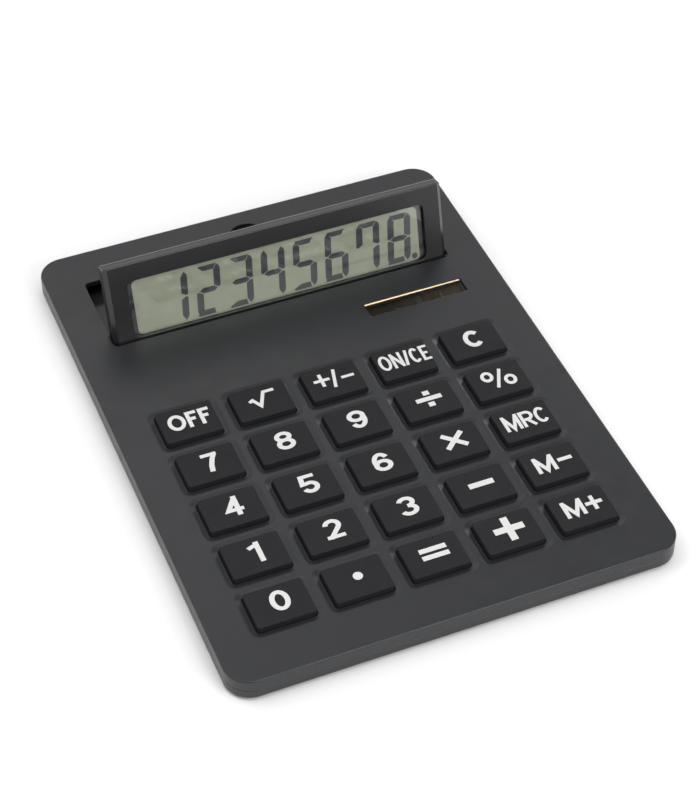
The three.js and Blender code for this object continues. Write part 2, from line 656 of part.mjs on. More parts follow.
function displayBack() {
  const half = DISPLAY_HALF_THICKNESS;
  const round = DISPLAY_BACK_ROUND;
  const profile = [
    ...arcPoints(0, 0, half, 184.5, 270, 5),
    ...arcPoints(DISPLAY_LENGTH - round, round - half, round, 270, 360, 4),
    new THREE.Vector2(DISPLAY_LENGTH, -GAP),
    new THREE.Vector2(-half + 0.02, -GAP),
  ];
  return prismAlongX(profile, -DISPLAY_HALF_WIDTH, DISPLAY_HALF_WIDTH)
    .intersect(housingPlan())
    .subtract(displayHollow(DISPLAY_WALL - half, 1))
    .subtract(hingeCuts());
}

function addDisplay(deck) {
  const display = new THREE.Group();
  display.position.set(0, HINGE_Y, HINGE_Z);
  display.rotation.x = THREE.MathUtils.degToRad(DISPLAY_TILT);
  deck.add(display);

  addMesh(display, 'display_bezel', displayBezel(), 'bezel');
  addMesh(display, 'display_back_cover', displayBack(), 'bezel');
  const lensTop = DISPLAY_HALF_THICKNESS - DISPLAY_FACE - GAP;
  const lensBottom = lensTop - LENS_THICKNESS;
  const lcdTop = lensBottom - GAP;
  const lcdBottom = lcdTop - LCD_THICKNESS;
  const edge = LCD_HALF_WIDTH;
  addMesh(display, 'display_lens', box(-edge, edge, LCD_LOW, LCD_HIGH + 1, lensBottom, lensTop), 'lens');
  addMesh(display, 'lcd_panel', box(-edge, edge, LCD_LOW, LCD_HIGH, lcdBottom, lcdTop), 'lcd');
  const holderTop = lcdBottom - GAP;
  const holder = box(-edge, edge, HOLDER_LOW, HOLDER_HIGH, holderTop - HOLDER_THICKNESS, holderTop);
  addMesh(display, 'lcd_holder', holder, 'holder');
}

function flexRibbon() {
  const middle = [
    openDisplayPoint(7.5, -1.5),
    openDisplayPoint(1, -1),
    new THREE.Vector2(69.4, -6.5),
    new THREE.Vector2(67.6, -7.2),
    new THREE.Vector2(BOARD_TONGUE_Y + GAP, -7),
  ];
  const half = RIBBON_THICKNESS / 2;
  const sides = [1, -1].map((side) => middle.map((point, i) => {
    const before = middle[Math.max(i - 1, 0)];
    const after = middle[Math.min(i + 1, middle.length - 1)];
    const along = after.clone().sub(before).normalize();
    return new THREE.Vector2(point.x - side * half * along.y, point.y + side * half * along.x);
  }));
  const outline = [...sides[1], ...sides[0].reverse()];
  return prismAlongX(outline, -RIBBON_HALF_WIDTH, RIBBON_HALF_WIDTH);
}

function addHinge(deck) {
  const left = rodAlongX(-HINGE_PIN_OUTER_X, -HINGE_PIN_INNER_X, HINGE_Y, HINGE_Z, HINGE_PIN);
  const right = rodAlongX(HINGE_PIN_INNER_X, HINGE_PIN_OUTER_X, HINGE_Y, HINGE_Z, HINGE_PIN);
  addMesh(deck, 'hinge_pin_left', left, 'steel');
  addMesh(deck, 'hinge_pin_right', right, 'steel');
  addMesh(deck, 'flex_ribbon', flexRibbon(), 'ribbon');
}

// ---------------------------------------------------------------- assembly

const group = new THREE.Group();
const deck = new THREE.Group();
deck.position.z = FOOT_STAND + CASE_HEIGHT;
group.add(deck);

addCase(deck);
addKeypad(deck);
addPower(deck);
addDisplay(deck);
addHinge(deck);

export default group;
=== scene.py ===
"""Desk calculator with a flip-up display: the looks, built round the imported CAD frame.

Shapes are built in millimetres, and make_piece turns them into metres.
Deck coordinates: X and Y as in the frame, Z from the top face of the case.
Display coordinates: X along the hinge axis, Y from the axis to the free edge, Z out of the screen.
"""

import json
import math

import bmesh
import bpy
from mathutils import Matrix, Vector

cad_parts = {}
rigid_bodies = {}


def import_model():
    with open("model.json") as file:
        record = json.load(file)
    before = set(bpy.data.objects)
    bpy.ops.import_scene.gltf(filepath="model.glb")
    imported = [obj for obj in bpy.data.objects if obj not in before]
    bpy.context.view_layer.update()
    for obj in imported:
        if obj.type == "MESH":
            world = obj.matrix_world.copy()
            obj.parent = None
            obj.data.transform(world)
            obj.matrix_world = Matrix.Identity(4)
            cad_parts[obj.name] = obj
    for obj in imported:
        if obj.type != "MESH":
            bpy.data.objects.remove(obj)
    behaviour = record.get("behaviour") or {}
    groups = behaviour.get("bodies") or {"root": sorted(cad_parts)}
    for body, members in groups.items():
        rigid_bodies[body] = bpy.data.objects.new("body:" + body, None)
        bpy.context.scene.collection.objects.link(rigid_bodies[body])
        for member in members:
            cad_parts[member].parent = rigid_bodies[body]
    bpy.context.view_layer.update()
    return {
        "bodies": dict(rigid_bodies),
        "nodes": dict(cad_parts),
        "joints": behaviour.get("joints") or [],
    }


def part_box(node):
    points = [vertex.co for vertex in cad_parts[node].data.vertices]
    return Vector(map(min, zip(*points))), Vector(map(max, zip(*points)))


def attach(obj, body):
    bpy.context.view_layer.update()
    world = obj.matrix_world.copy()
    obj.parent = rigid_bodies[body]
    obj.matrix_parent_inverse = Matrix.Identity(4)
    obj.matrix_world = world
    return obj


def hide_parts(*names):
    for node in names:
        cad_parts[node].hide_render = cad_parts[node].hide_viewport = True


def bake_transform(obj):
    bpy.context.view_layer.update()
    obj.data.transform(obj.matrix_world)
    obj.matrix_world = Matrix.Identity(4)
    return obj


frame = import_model()

MM = 0.001


def node_box(node):
    """Lowest and highest corner of a CAD node, in millimetres."""
    low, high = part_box(node)
    return low / MM, high / MM


def node_centre(node):
    """Middle of a CAD node in X and Y, in millimetres."""
    low, high = node_box(node)
    return (low.x + high.x) / 2, (low.y + high.y) / 2


# ---- sizes, in millimetres

GAP = 0.3
CASE_LOW, CASE_HIGH = node_box("top_case")
CASE_WIDTH = CASE_HIGH.x - CASE_LOW.x
CASE_DEPTH = CASE_HIGH.y - CASE_LOW.y
DECK_Z = CASE_HIGH.z
CASE_BOTTOM = node_box("bottom_case")[0].z - DECK_Z
CASE_CORNER = 11.5
CASE_EDGE = 0.8
FOOT_EDGE = 1.2
PARTING = -5.65
PARTING_EDGE = 0.08
PARTING_GAP = 0.12
TONGUE_RISE = 1.5
TONGUE_WALL = 1.0
PLATE = 2.0
SIDE_WALL = 2.0
FLOOR = 1.4
FLOOR_TOP = CASE_BOTTOM + FLOOR

KEY_CLEARANCE = 0.3
KEY_CORNER = 1.3
KEY_EDGE = 0.4
KEY_DRAFT = 0.2
KEY_FLANGE = 1.3
KEY_FLANGE_THICKNESS = 0.8
KEY_WALL = 1.4
KEY_ROOF = 1.5
KEY_POST_RADIUS = 2.5
DISH_SPREAD = 3.4
DISH_DEPTH = 0.5
DISH_EDGE = 0.2

WELL_HALF_WIDTH = 82.5
WELL_FRONT = 66.85
WELL_BACK = 112.5
WELL_DEPTH = 8.2
WELL_CORNER = 2.4
WELL_WALL = 1.5
WELL_FLOOR = 0.7
WELL_FLOOR_END = 104.3
WELL_OPENING_HALF_WIDTH = 81.0
WELL_BACK_OPENING_X = 14.0
WELL_BACK_OPENING_TOP = -2.6
WELL_LIP = 0.6
NOTCH_RADIUS = 9.0
NOTCH_BACK = 124.8
NOTCH_DEPTH = 3.4
NOTCH_LIP = 0.4
RIBBON_THICKNESS = 0.3
RIBBON_SLOT_HALF_WIDTH = 18.0
RIBBON_SLOT_HEIGHT = 2.0
RIBBON_ON_DISPLAY = ((7.5, -1.5), (1, -1))  # display coordinates, Y and Z
RIBBON_BELOW_HINGE = ((69.4, -6.5), (67.6, -7.2))  # deck coordinates, Y and Z
RIBBON_BOARD_Z = -7.0
HINGE_BLOCK_X = 88.0
HINGE_BLOCK_REACH = 5.0

SOLAR_RECESS = 1.6
SOLAR_LEDGE = 1.3
BOSS_RADIUS = 2.8
BOSS_BOTTOM = -6.5
TOWER_RADIUS = 4.0
SCREW_HOLE = 1.2
SCREW_HOLE_TOP = -2.7

TILT = math.radians(75)
HINGE = next(joint for joint in frame["joints"] if joint["name"] == "display_flip")
HINGE_PLACE = Vector(HINGE["pos_m"]) / MM
HOUSING_HALF_WIDTH = node_box("display_bezel")[1].x
HOUSING_HALF = 3.95
HOUSING_LENGTH = 40.75
HOUSING_CORNER = 1.5
HOUSING_BEVEL = 1.9
HOUSING_BACK_ROUND = 3.4
HOUSING_TOP_EDGE = 0.5
HOUSING_WALL = 1.4
HOUSING_FACE = 1.3
HOLLOW_LOW = 5.6
HOLLOW_HINGE_LOW = 2.4
SHOULDER_X = 79.6
SHOULDER_RADIUS = 2.8
HINGE_BORE = 1.6
PIN_INNER_X = 75.0
PIN_OUTER_X = node_box("hinge_pin_right")[1].x
WINDOW_HALF_WIDTH = 72.0
WINDOW_LOW = 3.4
WINDOW_HIGH = 32.2
WINDOW_CORNER = 3.0
LENS_TOP = HOUSING_HALF - HOUSING_FACE - GAP
LENS_THICKNESS = 0.8
LCD_TOP = LENS_TOP - LENS_THICKNESS - GAP
LCD_THICKNESS = 1.8
LCD_HALF_WIDTH = node_box("lcd_panel")[1].x
LCD_LOW = 2.8
LCD_HIGH = 34.0

MASK_HALF_WIDTH = 69.6
MASK_LOW = 2.9
MASK_HIGH = 30.7
MASK_CORNER = 2.6

DIGIT_HEIGHT = 24.9
DIGIT_WIDTH = 11.6
DIGIT_PITCH = 15.7
DIGIT_BOTTOM = 4.0
DIGIT_STROKE = 3.2
DIGIT_GAP = 0.3
DIGIT_SLANT = math.tan(math.radians(4))
LAST_DIGIT_X = 59.9
POINT_X = 67.0
POINT_RADIUS = 1.5

# ---- outlines


def arc(x, y, radius_x, radius_y, start, end, steps):
    """Points of an ellipse's arc between two angles in degrees."""
    points = []
    for step in range(steps + 1):
        angle = math.radians(start + (end - start) * step / steps)
        points.append((x + radius_x * math.cos(angle), y + radius_y * math.sin(angle)))
    return points


def rounded_rectangle(width, depth, corner, steps, x=0.0, y=0.0):
    points = []
    for side_x, side_y, start in ((1, 1, 0), (-1, 1, 90), (-1, -1, 180), (1, -1, 270)):
        corner_x = x + side_x * (width / 2 - corner)
        corner_y = y + side_y * (depth / 2 - corner)
        points += arc(corner_x, corner_y, corner, corner, start, start + 90, steps)
    return points


def inset_rectangle(width, depth, corner, steps, x=0.0, y=0.0):
    """The same outline as a function of how far it is drawn in."""

    def plan(inset):
        radius = max(corner - inset, 0.05)
        return rounded_rectangle(width - 2 * inset, depth - 2 * inset, radius, steps, x, y)

    return plan


def middle_rectangle(half_width, low, high, corner, steps):
    """An inset_rectangle that lies evenly across X 0, from one Y to another."""
    return inset_rectangle(2 * half_width, high - low, corner, steps, 0, (low + high) / 2)


def disc(radius, x=0.0, y=0.0, sides=48):
    def plan(inset):
        return arc(x, y, radius - inset, radius - inset, 0, 360 - 360 / sides, sides - 1)

    return plan


def top_round(radius, top, steps=5):
    """Insets and heights of a rounded top edge, from the side up to the top face."""
    return [(radius - y, top - radius + x) for y, x in arc(0, 0, radius, radius, 0, 90, steps)]


def bottom_round(radius, bottom, steps=5):
    rounded = top_round(radius, 0, steps)
    return [(inset, bottom - z) for inset, z in reversed(rounded)]


# ---- solids


def add_object(name, data):
    item = bpy.data.objects.new(name, data)
    bpy.context.scene.collection.objects.link(item)
    return item


def mesh_from(bm):
    bmesh.ops.recalc_face_normals(bm, faces=bm.faces)
    mesh = bpy.data.meshes.new("solid")
    bm.to_mesh(mesh)
    bm.free()
    return mesh


def loft(rings, closed=False):
    """A closed solid through rings that have the same number of points."""
    bm = bmesh.new()
    loops = [[bm.verts.new(point) for point in ring] for ring in rings]
    pairs = list(zip(loops, loops[1:]))
    if closed:
        pairs.append((loops[-1], loops[0]))
    else:
        bm.faces.new(list(reversed(loops[0])))
        bm.faces.new(loops[-1])
    count = len(loops[0])
    for lower, upper in pairs:
        for i in range(count):
            after = (i + 1) % count
            bm.faces.new((lower[i], lower[after], upper[after], upper[i]))
    return mesh_from(bm)


def slab(plan, profile):
    """A solid whose outline is drawn in by each of the profile's insets, from the bottom up."""
    return loft([[(x, y, z) for x, y in plan(inset)] for inset, z in profile])


def prism(points, low, high):
    return loft([[(x, y, z) for x, y in points] for z in (low, high)])


def prism_along_x(points, low, high):
    """A solid along X whose outline is drawn in Y and Z."""
    return loft([[(x, y, z) for y, z in points] for x in (low, high)])


def block(low_x, high_x, low_y, high_y, low_z, high_z):
    return prism([(low_x, low_y), (high_x, low_y), (high_x, high_y), (low_x, high_y)], low_z, high_z)


def rod_along_x(low_x, high_x, y, z, radius):
    return prism_along_x(disc(radius, y, z)(0), low_x, high_x)


def post(x, y, radius, low, high):
    return prism(disc(radius, x, y, 32)(0), low, high)


def together(meshes):
    """Several solids that don't touch, as one mesh."""
    bm = bmesh.new()
    for mesh in meshes:
        bm.from_mesh(mesh)
    return mesh_from(bm)


def boolean(mesh, tool, operation):
    body = add_object("body", mesh)
    cutter = add_object("cutter", tool)
    modifier = body.modifiers.new("boolean", "BOOLEAN")
    modifier.solver = "MANIFOLD"
    modifier.operation = operation
    modifier.object = cutter
    bpy.context.view_layer.update()
    result = bpy.data.meshes.new_from_object(body.evaluated_get(bpy.context.evaluated_depsgraph_get()))
    for item in (body, cutter):
        bpy.data.objects.remove(item)
    return result


def cut(mesh, *tools):
    for tool in tools:
        mesh = boolean(mesh, tool, "DIFFERENCE")
    return mesh


def join(mesh, *tools):
    for tool in tools:
        mesh = boolean(mesh, tool, "UNION")
    return mesh


def common(mesh, tool):
    return boolean(mesh, tool, "INTERSECT")


# ---- pieces

DECK = Matrix.Translation((0, 0, DECK_Z))
DISPLAY = Matrix.Translation(HINGE_PLACE) @ Matrix.Rotation(TILT, 4, "X")
SMOOTH_ANGLE = math.radians(28)
MERGE = 0.002


def smooth_faces(mesh):
    """Shades a mesh smooth, apart from its sharp edges."""
    bm = bmesh.new()
    bm.from_mesh(mesh)
    bmesh.ops.remove_doubles(bm, verts=bm.verts, dist=MERGE)
    bmesh.ops.dissolve_degenerate(bm, edges=bm.edges, dist=MERGE)
    for face in bm.faces:
        face.smooth = True
    for edge in bm.edges:
        edge.smooth = edge.is_manifold and edge.calc_face_angle(0) < SMOOTH_ANGLE
    bm.to_mesh(mesh)
    bm.free()


def make_piece(name, mesh, material, body, nodes=(), place=DECK):
    """Puts a solid in the scene as a piece that stands for CAD nodes and may ride on a body."""
    smooth_faces(mesh)
    mesh.transform(Matrix.Scale(MM, 4) @ place)
    mesh.name = name
    mesh.materials.clear()
    mesh.materials.append(MATERIALS[material])
    piece = add_object(name, mesh)
    weighted = piece.modifiers.new("weighted_normals", "WEIGHTED_NORMAL")
    weighted.keep_sharp = True
    weighted.weight = 100
    if body:
        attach(piece, body)
    if nodes:
        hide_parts(*nodes)
    return piece


# ---- materials


class Shader:
    """A material under construction: its nodes, and short ways to add them."""

    def __init__(self, name):
        self.material = bpy.data.materials.new(name)
        self.material.use_nodes = True
        self.tree = self.material.node_tree
        self.surface = self.tree.nodes["Principled BSDF"]
        coordinates = self.tree.nodes.new("ShaderNodeTexCoord")
        self.place = coordinates.outputs["Object"]

    def add(self, kind, **values):
        node = self.tree.nodes.new(kind)
        for key, value in values.items():
            setattr(node, key, value)
        return node

    def link(self, source, target):
        self.tree.links.new(source, target)

    def set(self, **values):
        for key, value in values.items():
            self.surface.inputs[key.replace("_", " ")].default_value = value

    def noise(self, size_mm, detail=2.0, roughness=0.5):
        """Noise with grains of about that size."""
        node = self.add("ShaderNodeTexNoise")
        self.link(self.place, node.inputs["Vector"])
        node.inputs["Scale"].default_value = 1 / (size_mm * MM)
        node.inputs["Detail"].default_value = detail
        node.inputs["Roughness"].default_value = roughness
        return node.outputs["Fac"]

    def ramp(self, source, low, high, start=0.3, end=0.7):
        """Maps a noise between two numbers."""
        node = self.add("ShaderNodeMapRange")
        self.link(source, node.inputs["Value"])
        for key, value in (("From Min", start), ("From Max", end), ("To Min", low), ("To Max", high)):
            node.inputs[key].default_value = value
        return node.outputs["Result"]

    def mix(self, factor, first, second):
        """Mixes two colours by a factor."""
        node = self.add("ShaderNodeMix", data_type="RGBA")
        self.link(factor, node.inputs["Factor"])
        for socket, colour in ((node.inputs[6], first), (node.inputs[7], second)):
            if isinstance(colour, bpy.types.NodeSocket):
                self.link(colour, socket)
            else:
                socket.default_value = (*colour, 1)
        return node.outputs[2]

    def bump(self, height, distance_mm):
        node = self.add("ShaderNodeBump")
        node.inputs["Distance"].default_value = distance_mm * MM
        self.link(height, node.inputs["Height"])
        self.link(node.outputs["Normal"], self.surface.inputs["Normal"])

    def colour(self, source):
        self.link(source, self.surface.inputs["Base Color"])

    def rough(self, source):
        self.link(source, self.surface.inputs["Roughness"])


def moulded(name, dark, light, roughness, grain_mm, depth_mm, specular=0.5):
    """Injection-moulded plastic: a fine spark-eroded grain, faint cloudiness and handling marks."""
    shader = Shader(name)
    cloud = shader.ramp(shader.noise(30, 3), 0, 1, 0.35, 0.65)
    speck = shader.ramp(shader.noise(grain_mm * 2, 2), 0, 1, 0.25, 0.75)
    tone = shader.mix(cloud, dark, light)
    shader.colour(shader.mix(speck, tone, shader.mix(cloud, light, dark)))
    shader.rough(shader.ramp(shader.noise(9, 4, 0.6), roughness * 0.9, roughness * 1.12))
    shader.bump(shader.noise(grain_mm, 3, 0.6), depth_mm)
    shader.set(Specular_IOR_Level=specular)
    return shader.material


def mottled(name, first, second, blotch, sheen, low, high, grain, depth_mm, **sockets):
    """A surface between two colours. blotch, sheen and grain are noises, each a size in mm and a detail."""
    shader = Shader(name)
    shader.colour(shader.mix(shader.ramp(shader.noise(*blotch), 0, 1), first, second))
    shader.rough(shader.ramp(shader.noise(*sheen), low, high))
    shader.bump(shader.noise(*grain), depth_mm)
    shader.set(**sockets)
    return shader.material


def ink(name, colour):
    """Screen-printed ink: slightly uneven cover over a grained surface."""
    darker = tuple(channel * 0.93 for channel in colour)
    return mottled(name, colour, darker, (0.5, 3), (2, 2), 0.5, 0.62, (0.35, 2), 0.006)


def rubber(name, colour, roughness=0.85):
    dusty = tuple(channel * 1.5 + 0.01 for channel in colour)
    low = roughness - 0.08
    high = roughness + 0.08
    look = {"Specular_IOR_Level": 0.3}
    return mottled(name, colour, dusty, (4, 4, 0.6), (1.5, 3), low, high, (0.4, 3), 0.03, **look)


def metal(name, colour, roughness):
    """Plated metal with faint stains."""
    stained = tuple(channel * 0.8 for channel in colour)
    low = roughness * 0.8
    high = roughness * 1.3
    return mottled(name, colour, stained, (3, 4), (0.8, 3), low, high, (0.3, 2), 0.004, Metallic=1.0)


def crystal(name, dark, light):
    """The liquid crystal and its reflector, softly mottled."""
    return mottled(name, dark, light, (16, 3, 0.6), (0.6, 2), 0.4, 0.5, (0.25, 2), 0.003)


def striped(name, scale, first, second, edges, roughness, sheen, depth_mm):
    """Copper lines under a coat. scale is the wave's, and edges are a line's limits on it."""
    shader = Shader(name)
    wave = shader.add("ShaderNodeTexWave", wave_type="BANDS", bands_direction="X")
    shader.link(shader.place, wave.inputs["Vector"])
    wave.inputs["Scale"].default_value = scale
    lines = shader.ramp(wave.outputs["Fac"], 0, 1, *edges)
    shader.colour(shader.mix(lines, first, second))
    shader.rough(shader.ramp(shader.noise(*sheen), *roughness))
    shader.bump(lines, depth_mm)
    return shader.material


def laminate(name):
    """Green solder mask over copper tracks."""
    colours = ((0.02, 0.09, 0.03), (0.04, 0.16, 0.06))
    return striped(name, 140, *colours, (0.55, 0.65), (0.3, 0.45), (2, 3), 0.04)


def ribbon_film(name):
    """Amber polyimide over copper lines."""
    colours = ((0.36, 0.16, 0.03), (0.55, 0.27, 0.08))
    return striped(name, 160, *colours, (0.4, 0.6), (0.3, 0.4), (3, 2), 0.02)


def clear_film(name, strength, roughness):
    """Clear plastic seen as what it reflects: nearly see-through face on, mirror-like at a glance."""
    shader = Shader(name)
    facing = shader.add("ShaderNodeLayerWeight")
    glance = shader.add("ShaderNodeMath", operation="POWER")
    glance.inputs[1].default_value = 5
    shader.link(facing.outputs["Facing"], glance.inputs[0])
    reflected = shader.ramp(glance.outputs["Value"], 0.04, 1, 0, 1)
    smear = shader.ramp(shader.noise(14, 3), strength * 0.9, strength * 1.1)
    product = shader.add("ShaderNodeMath", operation="MULTIPLY", use_clamp=True)
    shader.link(reflected, product.inputs[0])
    shader.link(smear, product.inputs[1])
    shader.link(product.outputs["Value"], shader.surface.inputs["Alpha"])
    shader.set(Base_Color=(0.95, 0.97, 0.96, 1), Metallic=1.0)
    shader.rough(shader.ramp(shader.noise(6, 2), roughness, roughness + 0.01))
    return shader.material


def silicon(name):
    """Amorphous silicon seen through tinted resin: olive at one end, brown at the other, clouded."""
    shader = Shader(name)
    split = shader.add("ShaderNodeSeparateXYZ")
    shader.link(shader.place, split.inputs["Vector"])
    low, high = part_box("solar_cell")
    along = shader.ramp(split.outputs["X"], 0, 1, low.x, high.x)
    cloud = shader.ramp(shader.noise(7, 3), 0, 1, 0.35, 0.65)
    dark = shader.mix(along, (0.003, 0.003, 0.0015), (0.032, 0.022, 0.013))
    light = shader.mix(along, (0.006, 0.006, 0.003), (0.045, 0.032, 0.020))
    shader.colour(shader.mix(cloud, dark, light))
    shader.rough(shader.ramp(shader.noise(3, 2), 0.12, 0.2))
    shader.bump(shader.noise(0.5, 2), 0.002)
    shader.set(Specular_IOR_Level=0.2)
    return shader.material


MATERIALS = {
    "case": moulded("case_plastic", (0.0135, 0.0142, 0.0160), (0.0170, 0.0178, 0.0200), 0.38, 0.22, 0.012),
    "key": moulded("key_plastic", (0.012, 0.012, 0.014), (0.016, 0.016, 0.018), 0.62, 0.35, 0.045, 0.2),
    "display": moulded("display_plastic", (0.012, 0.012, 0.013), (0.015, 0.015, 0.016), 0.24, 0.2, 0.006),
    "mask": moulded("window_mask", (0.006, 0.006, 0.006), (0.01, 0.01, 0.01), 0.5, 0.3, 0.01),
    "legend": ink("legend_ink", (0.70, 0.70, 0.69)),
    "foot": rubber("foot_rubber", (0.012, 0.012, 0.012)),
    "silicone": rubber("silicone_rubber", (0.27, 0.28, 0.29), 0.7),
    "board": laminate("board_laminate"),
    "epoxy": rubber("epoxy_resin", (0.006, 0.006, 0.006), 0.35),
    "lens": clear_film("lens_plastic", 1.3, 0.0),
    "crystal": crystal("lcd_reflector", (0.29, 0.31, 0.228), (0.345, 0.365, 0.278)),
    "segment": crystal("lcd_segment", (0.028, 0.036, 0.040), (0.038, 0.047, 0.052)),
    "white": moulded("white_plastic", (0.60, 0.60, 0.57), (0.66, 0.66, 0.63), 0.5, 0.3, 0.01),
    "ribbon": ribbon_film("ribbon_polyimide"),
    "silicon": silicon("solar_silicon"),
    "amber": clear_film("amber_resin", 0.5, 0.03),
    "gold": metal("resin_edge", (0.95, 0.74, 0.46), 0.35),
    "steel": metal("plated_steel", (0.62, 0.62, 0.63), 0.28),
}

# ---- case


def case_plan(inset=0.0):
    return inset_rectangle(CASE_WIDTH - 2 * inset, CASE_DEPTH - 2 * inset, CASE_CORNER - inset, 14)


def key_places():
    """Centre of each key in deck coordinates, by its body's name."""
    places = {}
    for body in frame["bodies"]:
        if body.startswith("key_"):
            places[body] = node_centre(body)
    return places


KEYS = key_places()
KEY_LOW, KEY_HIGH = node_box("key_8")
KEY_WIDTH = KEY_HIGH.x - KEY_LOW.x - 2 * KEY_FLANGE
KEY_DEPTH = KEY_HIGH.y - KEY_LOW.y - 2 * KEY_FLANGE
KEY_TOP = KEY_HIGH.z - DECK_Z
KEY_BOTTOM = -PLATE - GAP - KEY_FLANGE_THICKNESS


def dish_profile():
    """From the key's hole out to the plate, as insets of the hole's outline and heights."""
    above = 0.04
    steps = 9
    rolled = arc(0, -DISH_EDGE, DISH_EDGE, DISH_EDGE, 0, 90, 3)
    profile = [(0, -PLATE - 1)]
    profile += [(-DISH_EDGE + r, z - DISH_DEPTH) for r, z in rolled[:3]]
    for step in range(steps + 1):
        share = step / steps
        height = (DISH_DEPTH + above) * share * share * (3 - 2 * share)
        profile.append((-DISH_EDGE - DISH_SPREAD * share, height - DISH_DEPTH))
    profile.append((-DISH_EDGE - DISH_SPREAD, 2))
    return profile


def key_hole(x, y):
    width = KEY_WIDTH + 2 * KEY_CLEARANCE
    depth = KEY_DEPTH + 2 * KEY_CLEARANCE
    return slab(inset_rectangle(width, depth, KEY_CORNER + KEY_CLEARANCE, 6, x, y), dish_profile())


def lip_profile(bottom, radius):
    """A pocket's wall that rolls over into the plate."""
    rolled = [(r - radius, z) for r, z in arc(0, -radius, radius, radius, 0, 90, 4)]
    return [(0, bottom)] + rolled + [(-radius - 0.01, 1)]


def well_plan():
    return middle_rectangle(WELL_HALF_WIDTH, WELL_FRONT, WELL_BACK, WELL_CORNER, 8)


def notch_plan(inset):
    radius = NOTCH_RADIUS - inset
    start = WELL_BACK - 2
    round_end = arc(0, NOTCH_BACK - NOTCH_RADIUS, radius, radius, 0, 180, 24)
    return [(-radius, start), (radius, start)] + round_end


def solar_place():
    """Centre, width and depth of the recess for the solar window."""
    low, high = node_box("solar_window")
    return *node_centre("solar_window"), high.x - low.x + 2 * GAP, high.y - low.y + 2 * GAP


def posts(places, radius, low, high):
    return together([post(x, y, radius, low, high) for x, y in places])


def screw_places():
    return [node_centre(f"case_screw_{number}") for number in range(1, 7)]


def make_top_case():
    rim = [(PARTING_EDGE, PARTING), (0, PARTING + PARTING_EDGE)]
    shell = slab(case_plan(), rim + top_round(CASE_EDGE, 0, 6))
    shell = cut(shell, slab(case_plan(SIDE_WALL), [(0, PARTING - 1), (0, -PLATE)]))
    outer_x = WELL_HALF_WIDTH + WELL_WALL
    pocket_bottom = -WELL_DEPTH - WELL_FLOOR
    front = WELL_FRONT - WELL_WALL
    hinge_back = HINGE_PLACE.y + HINGE_BLOCK_REACH
    shell = join(
        shell,
        block(-outer_x, outer_x, front, WELL_BACK + WELL_WALL, pocket_bottom, -1),
        block(-HINGE_BLOCK_X, HINGE_BLOCK_X, front, hinge_back, pocket_bottom, -1),
        prism(notch_plan(-WELL_WALL), -NOTCH_DEPTH - WELL_WALL, -1),
        posts(screw_places(), BOSS_RADIUS, BOSS_BOTTOM, -1),
    )
    solar_x, solar_y, solar_width, solar_depth = solar_place()
    solar = inset_rectangle(solar_width, solar_depth, 0.5, 4, solar_x, solar_y)
    hinge_z = HINGE_PLACE.z - DECK_Z
    pin_end = PIN_OUTER_X + GAP
    back = WELL_BACK + WELL_WALL + 1
    far = WELL_OPENING_HALF_WIDTH
    near = WELL_BACK_OPENING_X
    under = pocket_bottom - 1
    back_openings = []
    for left, right in ((-far, -near), (near, far)):
        back_openings.append(block(left, right, WELL_FLOOR_END, back, under, WELL_BACK_OPENING_TOP))
    slot = RIBBON_SLOT_HALF_WIDTH
    slot_top = -WELL_DEPTH + RIBBON_SLOT_HEIGHT
    return cut(
        shell,
        slab(well_plan(), lip_profile(-WELL_DEPTH, WELL_LIP)),
        block(-far, far, WELL_FLOOR_END, WELL_BACK, under, -WELL_DEPTH + 1),
        together(back_openings),
        block(-slot, slot, front - 1, WELL_FRONT + 1, -WELL_DEPTH, slot_top),
        slab(notch_plan, lip_profile(-NOTCH_DEPTH, NOTCH_LIP)),
        slab(solar, lip_profile(-SOLAR_RECESS, 0.15)),
        slab(solar, [(SOLAR_LEDGE, -PLATE - 1), (SOLAR_LEDGE, 0)]),
        rod_along_x(-pin_end, pin_end, HINGE_PLACE.y, hinge_z, HINGE_BORE),
        posts(screw_places(), SCREW_HOLE, BOSS_BOTTOM - 1, SCREW_HOLE_TOP),
        together([key_hole(x, y) for x, y in KEYS.values()]),
    )


make_piece("top_shell", make_top_case(), "case", "case", ["top_case"])

COVER_LOW, COVER_HIGH = node_box("battery_cover")
COVER_X, COVER_Y = node_centre("battery_cover")
COVER_WIDTH = COVER_HIGH.x - COVER_LOW.x + 2 * GAP
COVER_DEPTH = COVER_HIGH.y - COVER_LOW.y + 2 * GAP
COVER_THICKNESS = COVER_HIGH.z - COVER_LOW.z
COVER_CORNER = 2.0
COVER_FRAME = 2.0
COVER_FRAME_TOP = -7.4
COVER_SCREW_X = node_centre("cover_screw")[0]
COVER_SCREW_HEAD = 2.0
COVER_SCREW_HOLE_TOP = -4.8
COVER_TOWER_RADIUS = 3.0
COVER_TOWER_TOP = -4.0
CELL_X = node_centre("button_cell")[0]
CELL_ROOM = 11.0
FOOT_RADIUS = 5.5
FOOT_SOCKET = 0.8
SCREW_HEAD_ROOM = 2.8
SCREW_HEAD_TOP = -8.3


def foot_places():
    return [node_centre(f"foot_{number}") for number in range(1, 5)]


